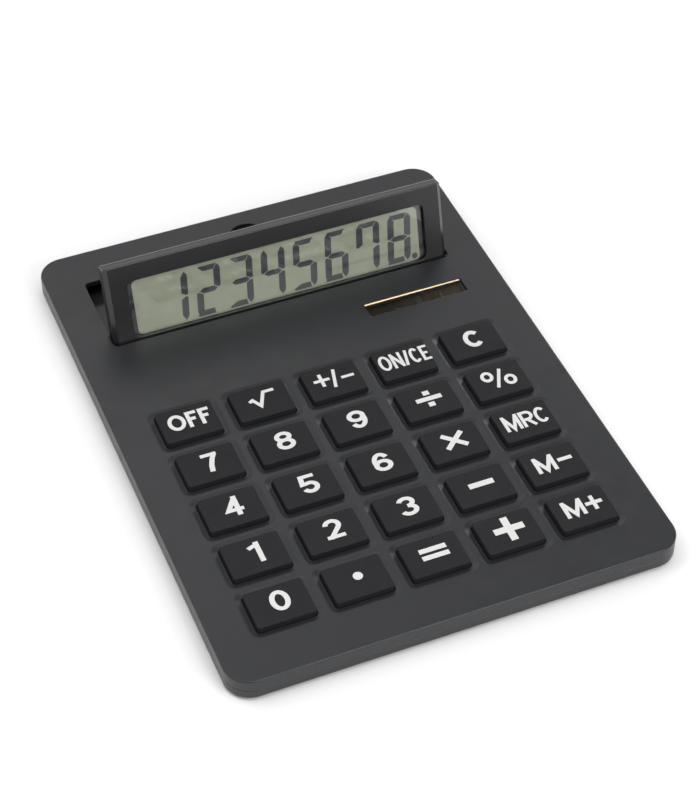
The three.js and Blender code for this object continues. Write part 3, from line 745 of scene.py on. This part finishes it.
def make_bottom_case():
    rim = PARTING - PARTING_GAP
    tongue = SIDE_WALL + GAP
    outside = bottom_round(FOOT_EDGE, CASE_BOTTOM, 6) + [(0, rim - PARTING_EDGE), (PARTING_EDGE, rim)]
    rise = [(0, rim - 1), (0, rim + TONGUE_RISE - 0.2), (0.2, rim + TONGUE_RISE)]
    shell = join(slab(case_plan(), outside), slab(case_plan(tongue), rise))
    shell = cut(shell, slab(case_plan(tongue + TONGUE_WALL), [(0, FLOOR_TOP), (0, 0)]))
    frame_width = COVER_WIDTH + 2 * COVER_FRAME
    frame_depth = COVER_DEPTH + 2 * COVER_FRAME
    frame_plan = inset_rectangle(frame_width, frame_depth, 3, 4, COVER_X, COVER_Y)
    shell = join(
        shell,
        posts(screw_places(), TOWER_RADIUS, FLOOR_TOP - 0.5, BOSS_BOTTOM - GAP),
        slab(frame_plan, [(0, FLOOR_TOP - 0.5), (0, COVER_FRAME_TOP)]),
        post(COVER_SCREW_X, COVER_Y, COVER_TOWER_RADIUS, COVER_FRAME_TOP - 0.5, COVER_TOWER_TOP),
    )
    under = CASE_BOTTOM - 1
    seat = CASE_BOTTOM + COVER_THICKNESS + GAP
    recess = inset_rectangle(COVER_WIDTH, COVER_DEPTH, COVER_CORNER, 6, COVER_X, COVER_Y)
    room = CELL_ROOM
    return cut(
        shell,
        slab(recess, [(-0.25, under), (-0.25, CASE_BOTTOM), (0, CASE_BOTTOM + 0.25), (0, seat)]),
        block(CELL_X - room, CELL_X + room, COVER_Y - room, COVER_Y + room, under, 0),
        post(COVER_SCREW_X, COVER_Y, SCREW_HOLE, under, COVER_SCREW_HOLE_TOP),
        posts(screw_places(), SCREW_HEAD_ROOM, under, SCREW_HEAD_TOP),
        posts(screw_places(), SCREW_HOLE, under, 0),
        posts(foot_places(), FOOT_RADIUS + GAP, under, CASE_BOTTOM + FOOT_SOCKET),
    )


def make_foot(x, y, low, high):
    """A rubber disc with a soft edge and a shallow ring in its sole."""
    sole = [(FOOT_RADIUS - 0.4, low + 0.25), (2.6, low + 0.25), (2.3, low), (1.9, low)]
    profile = sole + bottom_round(0.5, low) + top_round(0.15, high, 3)
    return slab(disc(FOOT_RADIUS, x, y), profile)


def make_screw(x, y, head_radius, head_bottom, head_top, tip):
    """A pan-head screw that points up, with a cross recess and its thread's crests."""
    shank = 0.9
    profile = bottom_round(0.35, head_bottom, 4)
    crest = head_radius - shank
    root = crest + 0.2
    profile += [(0, head_top - 0.1), (0.1, head_top), (crest, head_top)]
    pitch = 0.8
    turns = int((tip - head_top - 0.6) / pitch)
    for turn in range(turns):
        z = head_top + 0.2 + turn * pitch
        profile += [(root, z), (crest, z + 0.4), (root, z + 0.5)]
    profile.append((head_radius - 0.15, tip))
    body = slab(disc(head_radius, x, y, 32), profile)
    reach = head_radius * 0.62
    half = 0.28
    deep = head_bottom + 0.5
    cross = join(
        block(x - reach, x + reach, y - half, y + half, head_bottom - 1, deep),
        block(x - half, x + half, y - reach, y + reach, head_bottom - 1, deep),
    )
    return cut(body, cross)


def make_battery_cover():
    """A flush cover with finger ribs and a recess for its screw."""
    low = CASE_BOTTOM
    high = low + COVER_THICKNESS
    width = COVER_WIDTH - 2 * GAP
    depth = COVER_DEPTH - 2 * GAP
    plan = inset_rectangle(width, depth, COVER_CORNER - GAP, 6, COVER_X, COVER_Y)
    cover = slab(plan, bottom_round(0.2, low, 3) + [(0, high - 0.1), (0.1, high)])
    head_room = COVER_THICKNESS / 2 + GAP
    grooves = []
    for number in range(5):
        x = COVER_LOW.x + 3 + number * 1.6
        groove = inset_rectangle(0.8, 16, 0.4, 5, x, COVER_Y)
        grooves.append(slab(groove, [(-0.3, low - 1), (-0.3, low), (0.1, low + 0.4)]))
    return cut(
        cover,
        together(grooves),
        post(COVER_SCREW_X, COVER_Y, COVER_SCREW_HEAD + GAP, low - 1, low + head_room),
        post(COVER_SCREW_X, COVER_Y, SCREW_HOLE, low - 1, 0),
    )


make_piece("bottom_shell", make_bottom_case(), "case", "case", ["bottom_case"])
make_piece("battery_door", make_battery_cover(), "case", "case", ["battery_cover"])
for number, (foot_x, foot_y) in enumerate(foot_places(), 1):
    node = f"foot_{number}"
    foot_low, foot_high = node_box(node)
    solid = make_foot(foot_x, foot_y, foot_low.z - DECK_Z, foot_high.z - DECK_Z)
    make_piece(f"rubber_foot_{number}", solid, "foot", "case", [node])
for node in [f"case_screw_{number}" for number in range(1, 7)] + ["cover_screw"]:
    screw_low, screw_high = node_box(node)
    head = (screw_high.x - screw_low.x) / 2
    head_height = 0.8 if node == "cover_screw" else 1.6
    bottom = screw_low.z - DECK_Z
    solid = make_screw(*node_centre(node), head, bottom, bottom + head_height, screw_high.z - DECK_Z)
    make_piece(f"threaded_{node}", solid, "steel", "case", [node])

# ---- keys and their legends

LEGEND_HEIGHT = 0.06
LEGEND_SUNK = 0.15
LEGEND_PLACE = (0.6, 1.0)  # middle of a legend from the middle of its key
DIGIT = (8.4, 11.0, 1.12)  # width, height and half the upright stroke of the keys' digits
POINT_LEGEND_RADIUS = 2.1
DIGIT_FLATTENED = 0.82  # level strokes of the digits against upright ones


def make_key():
    """A cap with drafted sides and a soft top edge, hollow below, with its flange and centre post."""
    flange_top = KEY_BOTTOM + KEY_FLANGE_THICKNESS
    rim = -KEY_FLANGE
    profile = [(rim + 0.1, KEY_BOTTOM), (rim, KEY_BOTTOM + 0.1)]
    profile += [(rim, flange_top - 0.1), (rim + 0.1, flange_top), (0, flange_top), (0, -0.6)]
    edge = top_round(KEY_EDGE, KEY_TOP, 6)
    profile += [(KEY_DRAFT + inset, z) for inset, z in edge]
    cap = slab(inset_rectangle(KEY_WIDTH, KEY_DEPTH, KEY_CORNER, 8), profile)
    hollow = inset_rectangle(KEY_WIDTH - 2 * KEY_WALL, KEY_DEPTH - 2 * KEY_WALL, 0.8, 4)
    cap = cut(cap, slab(hollow, [(0, KEY_BOTTOM - 1), (0, KEY_TOP - KEY_ROOF)]))
    post_low = KEY_LOW.z - DECK_Z
    return join(cap, post(0, 0, KEY_POST_RADIUS, post_low, KEY_TOP - KEY_ROOF + 0.5))


def line(points, half):
    """A printed line of that half width along the points, mitred, and closed if it ends where it starts."""
    low = KEY_TOP - LEGEND_SUNK
    high = KEY_TOP + LEGEND_HEIGHT
    places = [Vector(point) for point in points]
    closed = (places[0] - places[-1]).length < MERGE
    if closed:
        places.pop()
    count = len(places)
    rings = []
    for i, place in enumerate(places):
        before = places[(i - 1) % count] if closed or i > 0 else None
        after = places[(i + 1) % count] if closed or i < count - 1 else None
        into = (place - before).normalized() if before is not None else (after - place).normalized()
        out = (after - place).normalized() if after is not None else into
        along = (into + out).normalized()
        side = Vector((-along.y, along.x)) * (half / max(along.dot(out), 0.3))
        left = place + side
        right = place - side
        corners = ((left, low), (left, high), (right, high), (right, low))
        rings.append([(corner.x, corner.y, z) for corner, z in corners])
    return loft(rings, closed)


def oval(x, y, radius_x, radius_y):
    return arc(x, y, radius_x, radius_y, 0, 360, 40)


def digit_lines(label, width, height, half):
    """The printed lines of a digit, as point lists."""
    edge_x = width / 2
    edge_y = height / 2
    x = edge_x - half
    y = edge_y - half
    bowl = height * 0.325 - half
    if label == "0":
        return [oval(0, 0, x, y)]
    if label == "1":
        stem = 0.18 * width
        flag = [(-0.3 * width, 0.24 * height), (stem, edge_y - 1.5)]
        return [[(stem, -edge_y), (stem, edge_y)], flag]
    if label == "2":
        turn = arc(0.05 * width, y - bowl, x * 0.92, bowl, 172, -38, 20)
        return [turn + [(-x * 0.8, -edge_y + 0.4)], [(-edge_x * 0.9, -y), (edge_x, -y)]]
    if label == "3":
        upper = y * 0.49
        lower = y - upper
        top = arc(0, y - upper, x * 0.94, upper, 165, -90, 20)
        bottom = arc(0, -y + lower, x, lower, 90, -165, 20)
        return [top, bottom]
    if label == "4":
        stem = 0.2 * width
        bar = -edge_y + 0.3 * height
        legs = [(stem, edge_y - half * 1.15), (-edge_x + half * 1.4, bar), (edge_x, bar)]
        return [[(stem, -edge_y), (stem, edge_y)], legs]
    if label == "5":
        flag = [(edge_x * 0.88, y), (-x * 0.66, y), (-x * 0.84, 0.02 * height)]
        return [flag + arc(0.05 * width, -y + bowl, x * 0.93, bowl, 142, -162, 24)[2:]]
    if label in "69":
        turn = 1 if label == "6" else -1
        sweep = [(turn * px, turn * py) for px, py in arc(0, 0, x, y, 32, 205, 26)]
        return [oval(0, -turn * (y - bowl), x, bowl), sweep]
    if label == "7":
        leg = [(edge_x * 0.66, y), (0.13 * width, 0.12 * height)]
        leg += [(-0.02 * width, -0.18 * height), (-0.09 * width, -edge_y)]
        return [[(-edge_x * 0.78, y), (edge_x * 0.9, y)], leg]
    upper = y * 0.47
    lower = y - upper
    return [oval(0, y - upper, x * 0.9, upper), oval(0, -y + lower, x, lower)]


def letter_lines(letter, x, y, width, height, half):
    """The printed lines of a capital letter or sign centred on x, y, as point lists."""
    left = x - width / 2
    right = x + width / 2
    low = y - height / 2
    high = y + height / 2
    stem = left + half
    far = right - half
    top = high - half
    foot = low + half
    corner = (width / 2 - half, height / 2 - half)
    waist = y - 0.04 * height
    swell = (top - waist) / 2
    bowl = arc(far - swell, waist + swell, swell, swell, 90, -90, 16)
    upright = [(stem, low), (stem, high)]
    far_upright = [(far, low), (far, high)]
    level = [(left, y), (right, y)]
    arm = y + 0.02 * height
    leg = [(x - 0.05 * width, waist), (far + half * 0.2, low)]
    valley = [(stem + half * 0.2, top), (x, low + half * 1.2), (far - half * 0.2, top)]
    shapes = {
        "O": [oval(x, y, *corner)],
        "C": [arc(x, y, *corner, 42, 318, 30)],
        "F": [[(stem, low), (stem, top), (right, top)], [(stem, arm), (far, arm)]],
        "E": [[(right, foot), (stem, foot), (stem, top), (right, top)], [(stem, y), (far, y)]],
        "N": [upright, far_upright, [(stem, top), (far, foot)]],
        "M": [upright, far_upright, valley],
        "R": [upright, [(stem, top)] + bowl + [(stem, waist)], leg],
        "/": [[(far, high), (stem, low)]],
        "-": [level],
        "+": [level, [(x, low), (x, high)]],
        "x": [[(left, low), (right, high)], [(left, high), (right, low)]],
    }
    return shapes[letter]


def sign(letter, x, y, width, height, half):
    return [(shape, half) for shape in letter_lines(letter, x, y, width, height, half)]


def word(letters, height, half):
    """Letters side by side, given as letter, width and the space after it."""
    total = sum(width + space for letter, width, space in letters) - letters[-1][2]
    place = -total / 2
    lines = []
    for letter, width, space in letters:
        lines += sign(letter, place + width / 2, 0, width, height, half)
        place += width + space
    return lines


def legend_lines(label):
    """Every printed line of a key's legend, with its half width."""
    if label.isdigit():
        return [(shape, DIGIT[2]) for shape in digit_lines(label, *DIGIT)]
    recall = [("M", 7.6, 0.6), ("R", 6.2, 0.5), ("C", 5.9, 0)]
    on_clear_entry = [("O", 5.6, 0.5), ("N", 5.1, 0.3), ("/", 3.2, 0.3), ("C", 4.7, 0.5), ("E", 3.9, 0)]
    memory = sign("M", -4.0, 0, 9.2, 9.2, 0.9)
    loops = [(oval(-side * 4.7, side * 2.4, 2.1, 2.4), 0.8) for side in (1, -1)]
    dots = [([(-1.5, y), (1.5, y)], 1.25) for y in (3.6, -3.6)]
    plus_and_slash = sign("+", -5.6, 0.6, 7.4, 7.9, 0.8) + sign("/", 0.2, 0, 4.2, 10.8, 0.75)
    root = [(-6.1, -0.4), (-4.4, 0.5), (-1.8, -4.0), (1.7, 3.9), (6.6, 3.9)]
    return {
        "off": word([("O", 7.9, 0.8), ("F", 4.9, 0.9), ("F", 4.9, 0)], 9.5, 0.88),
        "on_clear_entry": word(on_clear_entry, 9.4, 0.68),
        "clear": word([("C", 8.8, 0)], 10.6, 1.12),
        "square_root": [(root, 0.8)],
        "change_sign": plus_and_slash + sign("-", 6.3, -0.7, 6.0, 1.5, 0.75),
        "percent": sign("/", 0, 0, 6.4, 10.8, 0.75) + loops,
        "divide": sign("-", 0, 0, 12.0, 2.4, 1.2) + dots,
        "multiply": sign("x", 0, 0, 9.4, 8.4, 1.15),
        "minus": sign("-", 0, 0, 11.4, 2.8, 1.4),
        "plus": sign("+", 0, 0, 13.5, 13.0, 1.6),
        "equals": sign("-", 0, 1.95, 12, 2.4, 1.2) + sign("-", 0, -1.95, 12, 2.4, 1.2),
        "memory_recall": word(recall, 9.3, 0.75),
        "memory_minus": memory + sign("-", 5.3, 0, 6.6, 1.9, 0.95),
        "memory_plus": memory + sign("+", 5.3, 0, 7.6, 7.8, 0.9),
    }[label]


def make_legend(label):
    if label == "point":
        return post(0, 0, POINT_LEGEND_RADIUS, KEY_TOP - LEGEND_SUNK, KEY_TOP + LEGEND_HEIGHT)
    flattened = DIGIT_FLATTENED if label.isdigit() else 1.0
    solids = []
    for points, half in legend_lines(label):
        solids.append(line([(x, y / flattened) for x, y in points], half))
    legend = join(solids[0], *solids[1:])
    legend.transform(Matrix.Diagonal((1, flattened, 1, 1)))
    return legend


KEY_MESH = make_key()
for body, (key_x, key_y) in KEYS.items():
    place = DECK @ Matrix.Translation((key_x, key_y, 0))
    printed = place @ Matrix.Translation((*LEGEND_PLACE, 0))
    label = body[4:]
    make_piece(f"cap_{label}", KEY_MESH.copy(), "key", body, [body], place)
    make_piece(f"legend_{label}", make_legend(label), "legend", body, [], printed)

# ---- solar window


def make_solar_window():
    """A tinted resin block with softened edges."""
    x, y, width, depth = solar_place()
    low, high = node_box("solar_window")
    plan = inset_rectangle(width - 2 * GAP, depth - 2 * GAP, 0.4, 4, x, y)
    return slab(plan, [(0, low.z - DECK_Z), (0, high.z - DECK_Z - 0.15), (0.15, high.z - DECK_Z)])


def make_back_glint():
    """The polished back rim of the tinted window, leaning back so that it catches the light."""
    x, y, width, depth = solar_place()
    top = node_box("solar_window")[1].z - DECK_Z
    back = y + depth / 2 - GAP
    half = width / 2 - 2 * GAP
    rim = [(back - 0.75, top + 0.02), (back - 0.15, top + 0.02)]
    rim += [(back - 0.1, top + 0.25), (back - 0.2, top + 0.3)]
    return prism_along_x(rim, x - half, x + half)


def make_solar_cell():
    """The cell under the window, a thin dark film."""
    low, high = node_box("solar_cell")
    plan = inset_rectangle(high.x - low.x, high.y - low.y, 0.4, 3, *node_centre("solar_cell"))
    return slab(plan, [(0, low.z - DECK_Z), (0, high.z - DECK_Z)])


def make_cell_strips():
    """The dark strips between the cell's fields."""
    low, high = node_box("solar_cell")
    top = high.z - DECK_Z
    width = high.x - low.x
    strips = []
    for share, strip in ((0.53, 1.5), (0.76, 0.7)):
        x = low.x + share * width
        strips.append(block(x - strip, x + strip, low.y + 0.3, high.y - 0.3, top - 0.1, top + 0.12))
    return together(strips)


make_piece("tinted_window", make_solar_window(), "amber", "case", ["solar_window"])
make_piece("window_rim", make_back_glint(), "gold", "case")
make_piece("silicon_film", make_solar_cell(), "silicon", "case", ["solar_cell"])
make_piece("silicon_strips", make_cell_strips(), "mask", "case")

# ---- display housing


def housing_plan(low, high):
    plan = middle_rectangle(HOUSING_HALF_WIDTH, -HOUSING_HALF, HOUSING_LENGTH, HOUSING_CORNER, 8)
    return prism(plan(0), low, high)


def housing_hollow(low, high):
    side = HOUSING_HALF_WIDTH - HOUSING_WALL
    hinge_side = PIN_INNER_X - 1.2
    return [
        block(-side, side, HOLLOW_LOW, HOUSING_LENGTH - HOUSING_WALL, low, high),
        block(-hinge_side, hinge_side, HOLLOW_HINGE_LOW, HOLLOW_LOW + 1, low, high),
    ]


def hinge_cuts():
    end = HOUSING_HALF_WIDTH + 1
    cuts = []
    for low, high in ((-end, -SHOULDER_X), (SHOULDER_X, end)):
        shoulder = rod_along_x(low - 1, high + 1, 0, 0, SHOULDER_RADIUS)
        cuts.append(cut(block(low, high, -6, 0, -6, 6), shoulder))
    cuts.append(rod_along_x(-end, GAP - PIN_INNER_X, 0, 0, HINGE_BORE))
    cuts.append(rod_along_x(PIN_INNER_X - GAP, end, 0, 0, HINGE_BORE))
    cuts.append(block(-RIBBON_SLOT_HALF_WIDTH, RIBBON_SLOT_HALF_WIDTH, -5, 3, -5, 2))
    return cuts


def make_bezel():
    top = HOUSING_LENGTH
    edge = HOUSING_TOP_EDGE
    profile = arc(0, 0, HOUSING_HALF, HOUSING_HALF, 90, 180, 16)
    profile += [(top, 0)] + arc(top - edge, HOUSING_HALF - edge, edge, edge, 0, 90, 6)
    bezel = prism_along_x(profile, -HOUSING_HALF_WIDTH, HOUSING_HALF_WIDTH)
    bezel = common(bezel, housing_plan(-6, 6))
    reach = HOUSING_BEVEL / math.sqrt(2)
    for side in (-1, 1):
        wedge = block(-reach, reach, -60, 60, -reach, reach)
        corner = Matrix.Translation((side * HOUSING_HALF_WIDTH, 0, HOUSING_HALF))
        wedge.transform(corner @ Matrix.Rotation(math.pi / 4, 4, "Y"))
        bezel = cut(bezel, wedge)
    window = middle_rectangle(WINDOW_HALF_WIDTH, WINDOW_LOW, WINDOW_HIGH, WINDOW_CORNER, 10)
    face = HOUSING_HALF
    soft_edge = [(0, face - 0.25), (-0.1, face - 0.1), (-0.25, face)]
    window_cut = slab(window, [(0, 0)] + soft_edge + [(-0.25, face + 1)])
    return cut(bezel, *housing_hollow(-1, face - HOUSING_FACE), window_cut, *hinge_cuts())


def make_back_cover():
    round_over = HOUSING_BACK_ROUND
    low = -HOUSING_HALF
    profile = arc(0, 0, HOUSING_HALF, HOUSING_HALF, 184.5, 270, 16)
    profile += arc(HOUSING_LENGTH - round_over, low + round_over, round_over, round_over, 270, 360, 14)
    profile += [(HOUSING_LENGTH, -GAP), (low + 0.02, -GAP)]
    cover = prism_along_x(profile, -HOUSING_HALF_WIDTH, HOUSING_HALF_WIDTH)
    cover = common(cover, housing_plan(-6, 6))
    return cut(cover, *housing_hollow(HOUSING_WALL - HOUSING_HALF, 1), *hinge_cuts())


def make_lens():
    plan = middle_rectangle(LCD_HALF_WIDTH, LCD_LOW, LCD_HIGH + 1, 0.5, 3)
    return prism(plan(0), LENS_TOP - LENS_THICKNESS, LENS_TOP)


# ---- liquid crystal panel

SEGMENTS = ("bc", "abged", "abgcd", "fgbc", "afgcd", "afgedc", "fabc", "abcdefg")  # of 1 to 8


def segment_outline(name):
    """Corners of one segment of an upright digit, counted from its bottom left corner."""
    w = DIGIT_WIDTH
    h = DIGIT_HEIGHT
    t = DIGIT_STROKE
    g = DIGIT_GAP
    middle = h / 2
    under = h - t * 0.8
    if name == "a":
        return [(0.9, h - 0.3), (1.5, h), (w - t * 0.55, h), (w - t - g / 2, under), (t + g, under)]
    if name == "d":
        return [(0.5, 0), (w - t * 0.9, 0), (w - t - g, t * 0.85), (t + g, t * 0.85), (0.1, 0.8)]
    if name == "g":
        half = t * 0.42
        return [
            (g + t * 0.35, middle), (t, middle - half), (w - t, middle - half),
            (w - g - t * 0.35, middle), (w - t, middle + half), (t, middle + half),
        ]
    upright = [
        (t, middle + t * 0.42 + g), (t, under - g), (t * 0.5, h - g), (0.3, h - t * 0.5),
        (0, h - t * 0.9), (0, middle + g + 0.5), (t * 0.3, middle + g),
    ]
    if name in "ec":
        upright = [(x, h - y) for x, y in upright]
    if name in "bc":
        upright = [(w - x, y) for x, y in upright]
    return upright


def inked(points):
    return prism(points, LCD_TOP - 0.05, LCD_TOP + 0.03)


def digit_solids(names, x):
    """The segments of one digit, as thin solids just above the panel."""
    solids = []
    for name in names:
        points = []
        for px, py in segment_outline(name):
            slant = (py - DIGIT_HEIGHT / 2) * DIGIT_SLANT
            points.append((x - DIGIT_WIDTH / 2 + px + slant, DIGIT_BOTTOM + py))
        solids.append(inked(points))
    return solids


def make_segments():
    solids = []
    for from_last, names in enumerate(reversed(SEGMENTS)):
        solids += digit_solids(names, LAST_DIGIT_X - from_last * DIGIT_PITCH)
    solids.append(inked(disc(POINT_RADIUS, POINT_X, DIGIT_BOTTOM + POINT_RADIUS, 24)(0)))
    return together(solids)


def make_panel():
    low = LCD_TOP - LCD_THICKNESS
    plan = middle_rectangle(LCD_HALF_WIDTH, LCD_LOW, LCD_HIGH, 0.3, 3)
    return slab(plan, [(0.1, low), (0, low + 0.1), (0, LCD_TOP - 0.1), (0.1, LCD_TOP)])


def make_mask():
    """A dark border round the part of the panel that can be read, as a thin dark sheet just above the
    panel.
    """
    outside = middle_rectangle(LCD_HALF_WIDTH, LCD_LOW, LCD_HIGH, 0.4, 3)
    opening = middle_rectangle(MASK_HALF_WIDTH, MASK_LOW, MASK_HIGH, MASK_CORNER, 8)
    return cut(prism(outside(0), LCD_TOP + 0.02, LCD_TOP + 0.12), prism(opening(0), 0, LCD_TOP + 1))


for name, solid, material, slot, nodes in (
    ("bezel", make_bezel(), "display", "display_plastic", ["display_bezel"]),
    ("back_cover", make_back_cover(), "display", "display_plastic", ["display_back_cover"]),
    ("lens", make_lens(), "lens", "clear_lens", ["display_lens"]),
    ("crystal_panel", make_panel(), "crystal", "lcd_glass", ["lcd_panel"]),
    ("lit_segments", make_segments(), "segment", "lcd_glass", []),
    ("panel_border", make_mask(), "mask", "lcd_glass", []),
):
    make_piece(name, solid, material, "display", nodes, DISPLAY)

# ---- flat cable


def ribbon_line():
    """The flat cable's middle line in Y and Z, from the display's back, round the hinge, to the board."""
    route = []
    for along, out in RIBBON_ON_DISPLAY:
        point = DECK.inverted() @ DISPLAY @ Vector((0, along, out))
        route.append((point.y, point.z))
    board_end = node_box("flex_ribbon")[0].y
    return route + [*RIBBON_BELOW_HINGE, (board_end, RIBBON_BOARD_Z)]


def smooth_line(points, steps):
    """A Catmull-Rom curve through points in a plane."""
    padded = [points[0]] + points + [points[-1]]
    curve = []
    for first, second, third, fourth in zip(padded, padded[1:], padded[2:], padded[3:]):
        a, b, c, d = (Vector(point) for point in (first, second, third, fourth))
        for step in range(steps):
            t = step / steps
            bend = (2 * a - 5 * b + 4 * c - d) * t ** 2 + (3 * b - a - 3 * c + d) * t ** 3
            curve.append(b + ((c - a) * t + bend) / 2)
    return curve + [Vector(points[-1])]


def make_ribbon():
    """The flat cable's strip along its route, as one solid."""
    curve = smooth_line(ribbon_line(), 8)
    upper = []
    lower = []
    for before, here, after in zip(curve[:1] + curve, curve, curve[1:] + curve[-1:]):
        along = (after - before).normalized() * RIBBON_THICKNESS / 2
        upper.append((here.x - along.y, here.y + along.x))
        lower.append((here.x + along.y, here.y - along.x))
    low, high = node_box("flex_ribbon")
    return prism_along_x(upper + lower[::-1], low.x, high.x)


ribbon = make_piece("flat_cable", make_ribbon(), "ribbon", "", ["flex_ribbon"])
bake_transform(ribbon)

# ---- CAD nodes that stay

KEPT_NODES = {
    "keypad_membrane": ("silicone", "silicone_rubber"),
    "circuit_board": ("board", "board_laminate"),
    "processor": ("epoxy", "epoxy"),
    "lcd_holder": ("white", "white_plastic"),
}
for node in ("button_cell", "contact_negative", "contact_positive", "hinge_pin_left", "hinge_pin_right"):
    KEPT_NODES[node] = ("steel", "steel")
for node, (material, slot) in KEPT_NODES.items():
    kept = frame["nodes"][node]
    kept.data.materials.clear()
    kept.data.materials.append(MATERIALS[material])

# ---- floor, light and camera


def make_floor():
    size = 0.85
    bm = bmesh.new()
    bmesh.ops.create_grid(bm, x_segments=8, y_segments=8, size=size)
    floor = add_object("floor", mesh_from(bm))
    shader = Shader("paper_floor")
    shader.colour(shader.mix(shader.noise(300, 2), (0.955, 0.955, 0.955), (0.97, 0.97, 0.97)))
    shader.rough(shader.ramp(shader.noise(50, 2), 0.85, 0.95))
    shader.set(Specular_IOR_Level=0.2)
    floor.data.materials.append(shader.material)


def area_light(name, place, width, height, power):
    """A softbox that points at the origin. Sizes are in metres and power in watts."""
    lamp = bpy.data.lights.new(name, "AREA")
    lamp.shape = "RECTANGLE"
    lamp.size = width
    lamp.size_y = height
    lamp.energy = power
    holder = add_object(name, lamp)
    holder.location = place
    holder.rotation_euler = (-Vector(place)).to_track_quat("-Z", "Y").to_euler()


def make_world(horizon, zenith):
    """A pale studio: bright round the horizon and dimmer overhead."""
    world = bpy.data.worlds.new("studio")
    bpy.context.scene.world = world
    world.use_nodes = True
    tree = world.node_tree
    background = tree.nodes["Background"]
    background.inputs["Color"].default_value = (1, 1, 1, 1)
    direction = tree.nodes.new("ShaderNodeTexCoord")
    split = tree.nodes.new("ShaderNodeSeparateXYZ")
    fade = tree.nodes.new("ShaderNodeMapRange")
    fade.interpolation_type = "SMOOTHSTEP"
    for key, value in (("From Min", 0.2), ("From Max", 0.65), ("To Min", horizon), ("To Max", zenith)):
        fade.inputs[key].default_value = value
    tree.links.new(direction.outputs["Generated"], split.inputs["Vector"])
    tree.links.new(split.outputs["Z"], fade.inputs["Value"])
    tree.links.new(fade.outputs["Result"], background.inputs["Strength"])


def make_camera():
    """A camera at the photograph's angle, solved from the key grid and the outline."""
    azimuth = math.radians(-22.62)
    elevation = math.radians(45.145)
    roll = math.radians(0.35)
    distance = 0.9551
    aim = Vector((0.0029, -0.0044, DECK_Z * MM))
    back = Vector((
        math.sin(azimuth) * math.cos(elevation),
        -math.cos(azimuth) * math.cos(elevation),
        math.sin(elevation),
    ))
    lens = bpy.data.cameras.new("camera")
    lens.lens = 97.64
    lens.sensor_width = 36
    lens.clip_start = 0.01
    camera = add_object("camera", lens)
    camera.location = aim + back * distance
    turn = (-back).to_track_quat("-Z", "Y").to_matrix() @ Matrix.Rotation(roll, 3, "Z")
    camera.rotation_euler = turn.to_euler()
    bpy.context.scene.camera = camera


make_floor()
make_world(1.0, 0.15)
for side, place, width, height, power in (
    ("top", (0.1, -0.3, 1.4), 0.9, 0.9, 7),
    ("near", (-0.5, 0.15, 1.0), 0.6, 0.6, 4),
    ("front", (0.6, -1.45, 1.0), 1.1, 0.7, 14),
    ("back", (0.2, 1.3, 1.4), 0.9, 0.7, 3),
    ("right", (1.25, 1.35, 0.87), 0.45, 0.45, 4),
    ("left", (-0.95, 1.4, 0.7), 0.5, 0.6, 2),
):
    area_light(f"softbox_{side}", place, width, height, power)
make_camera()
bpy.context.scene.view_settings.view_transform = "Standard"
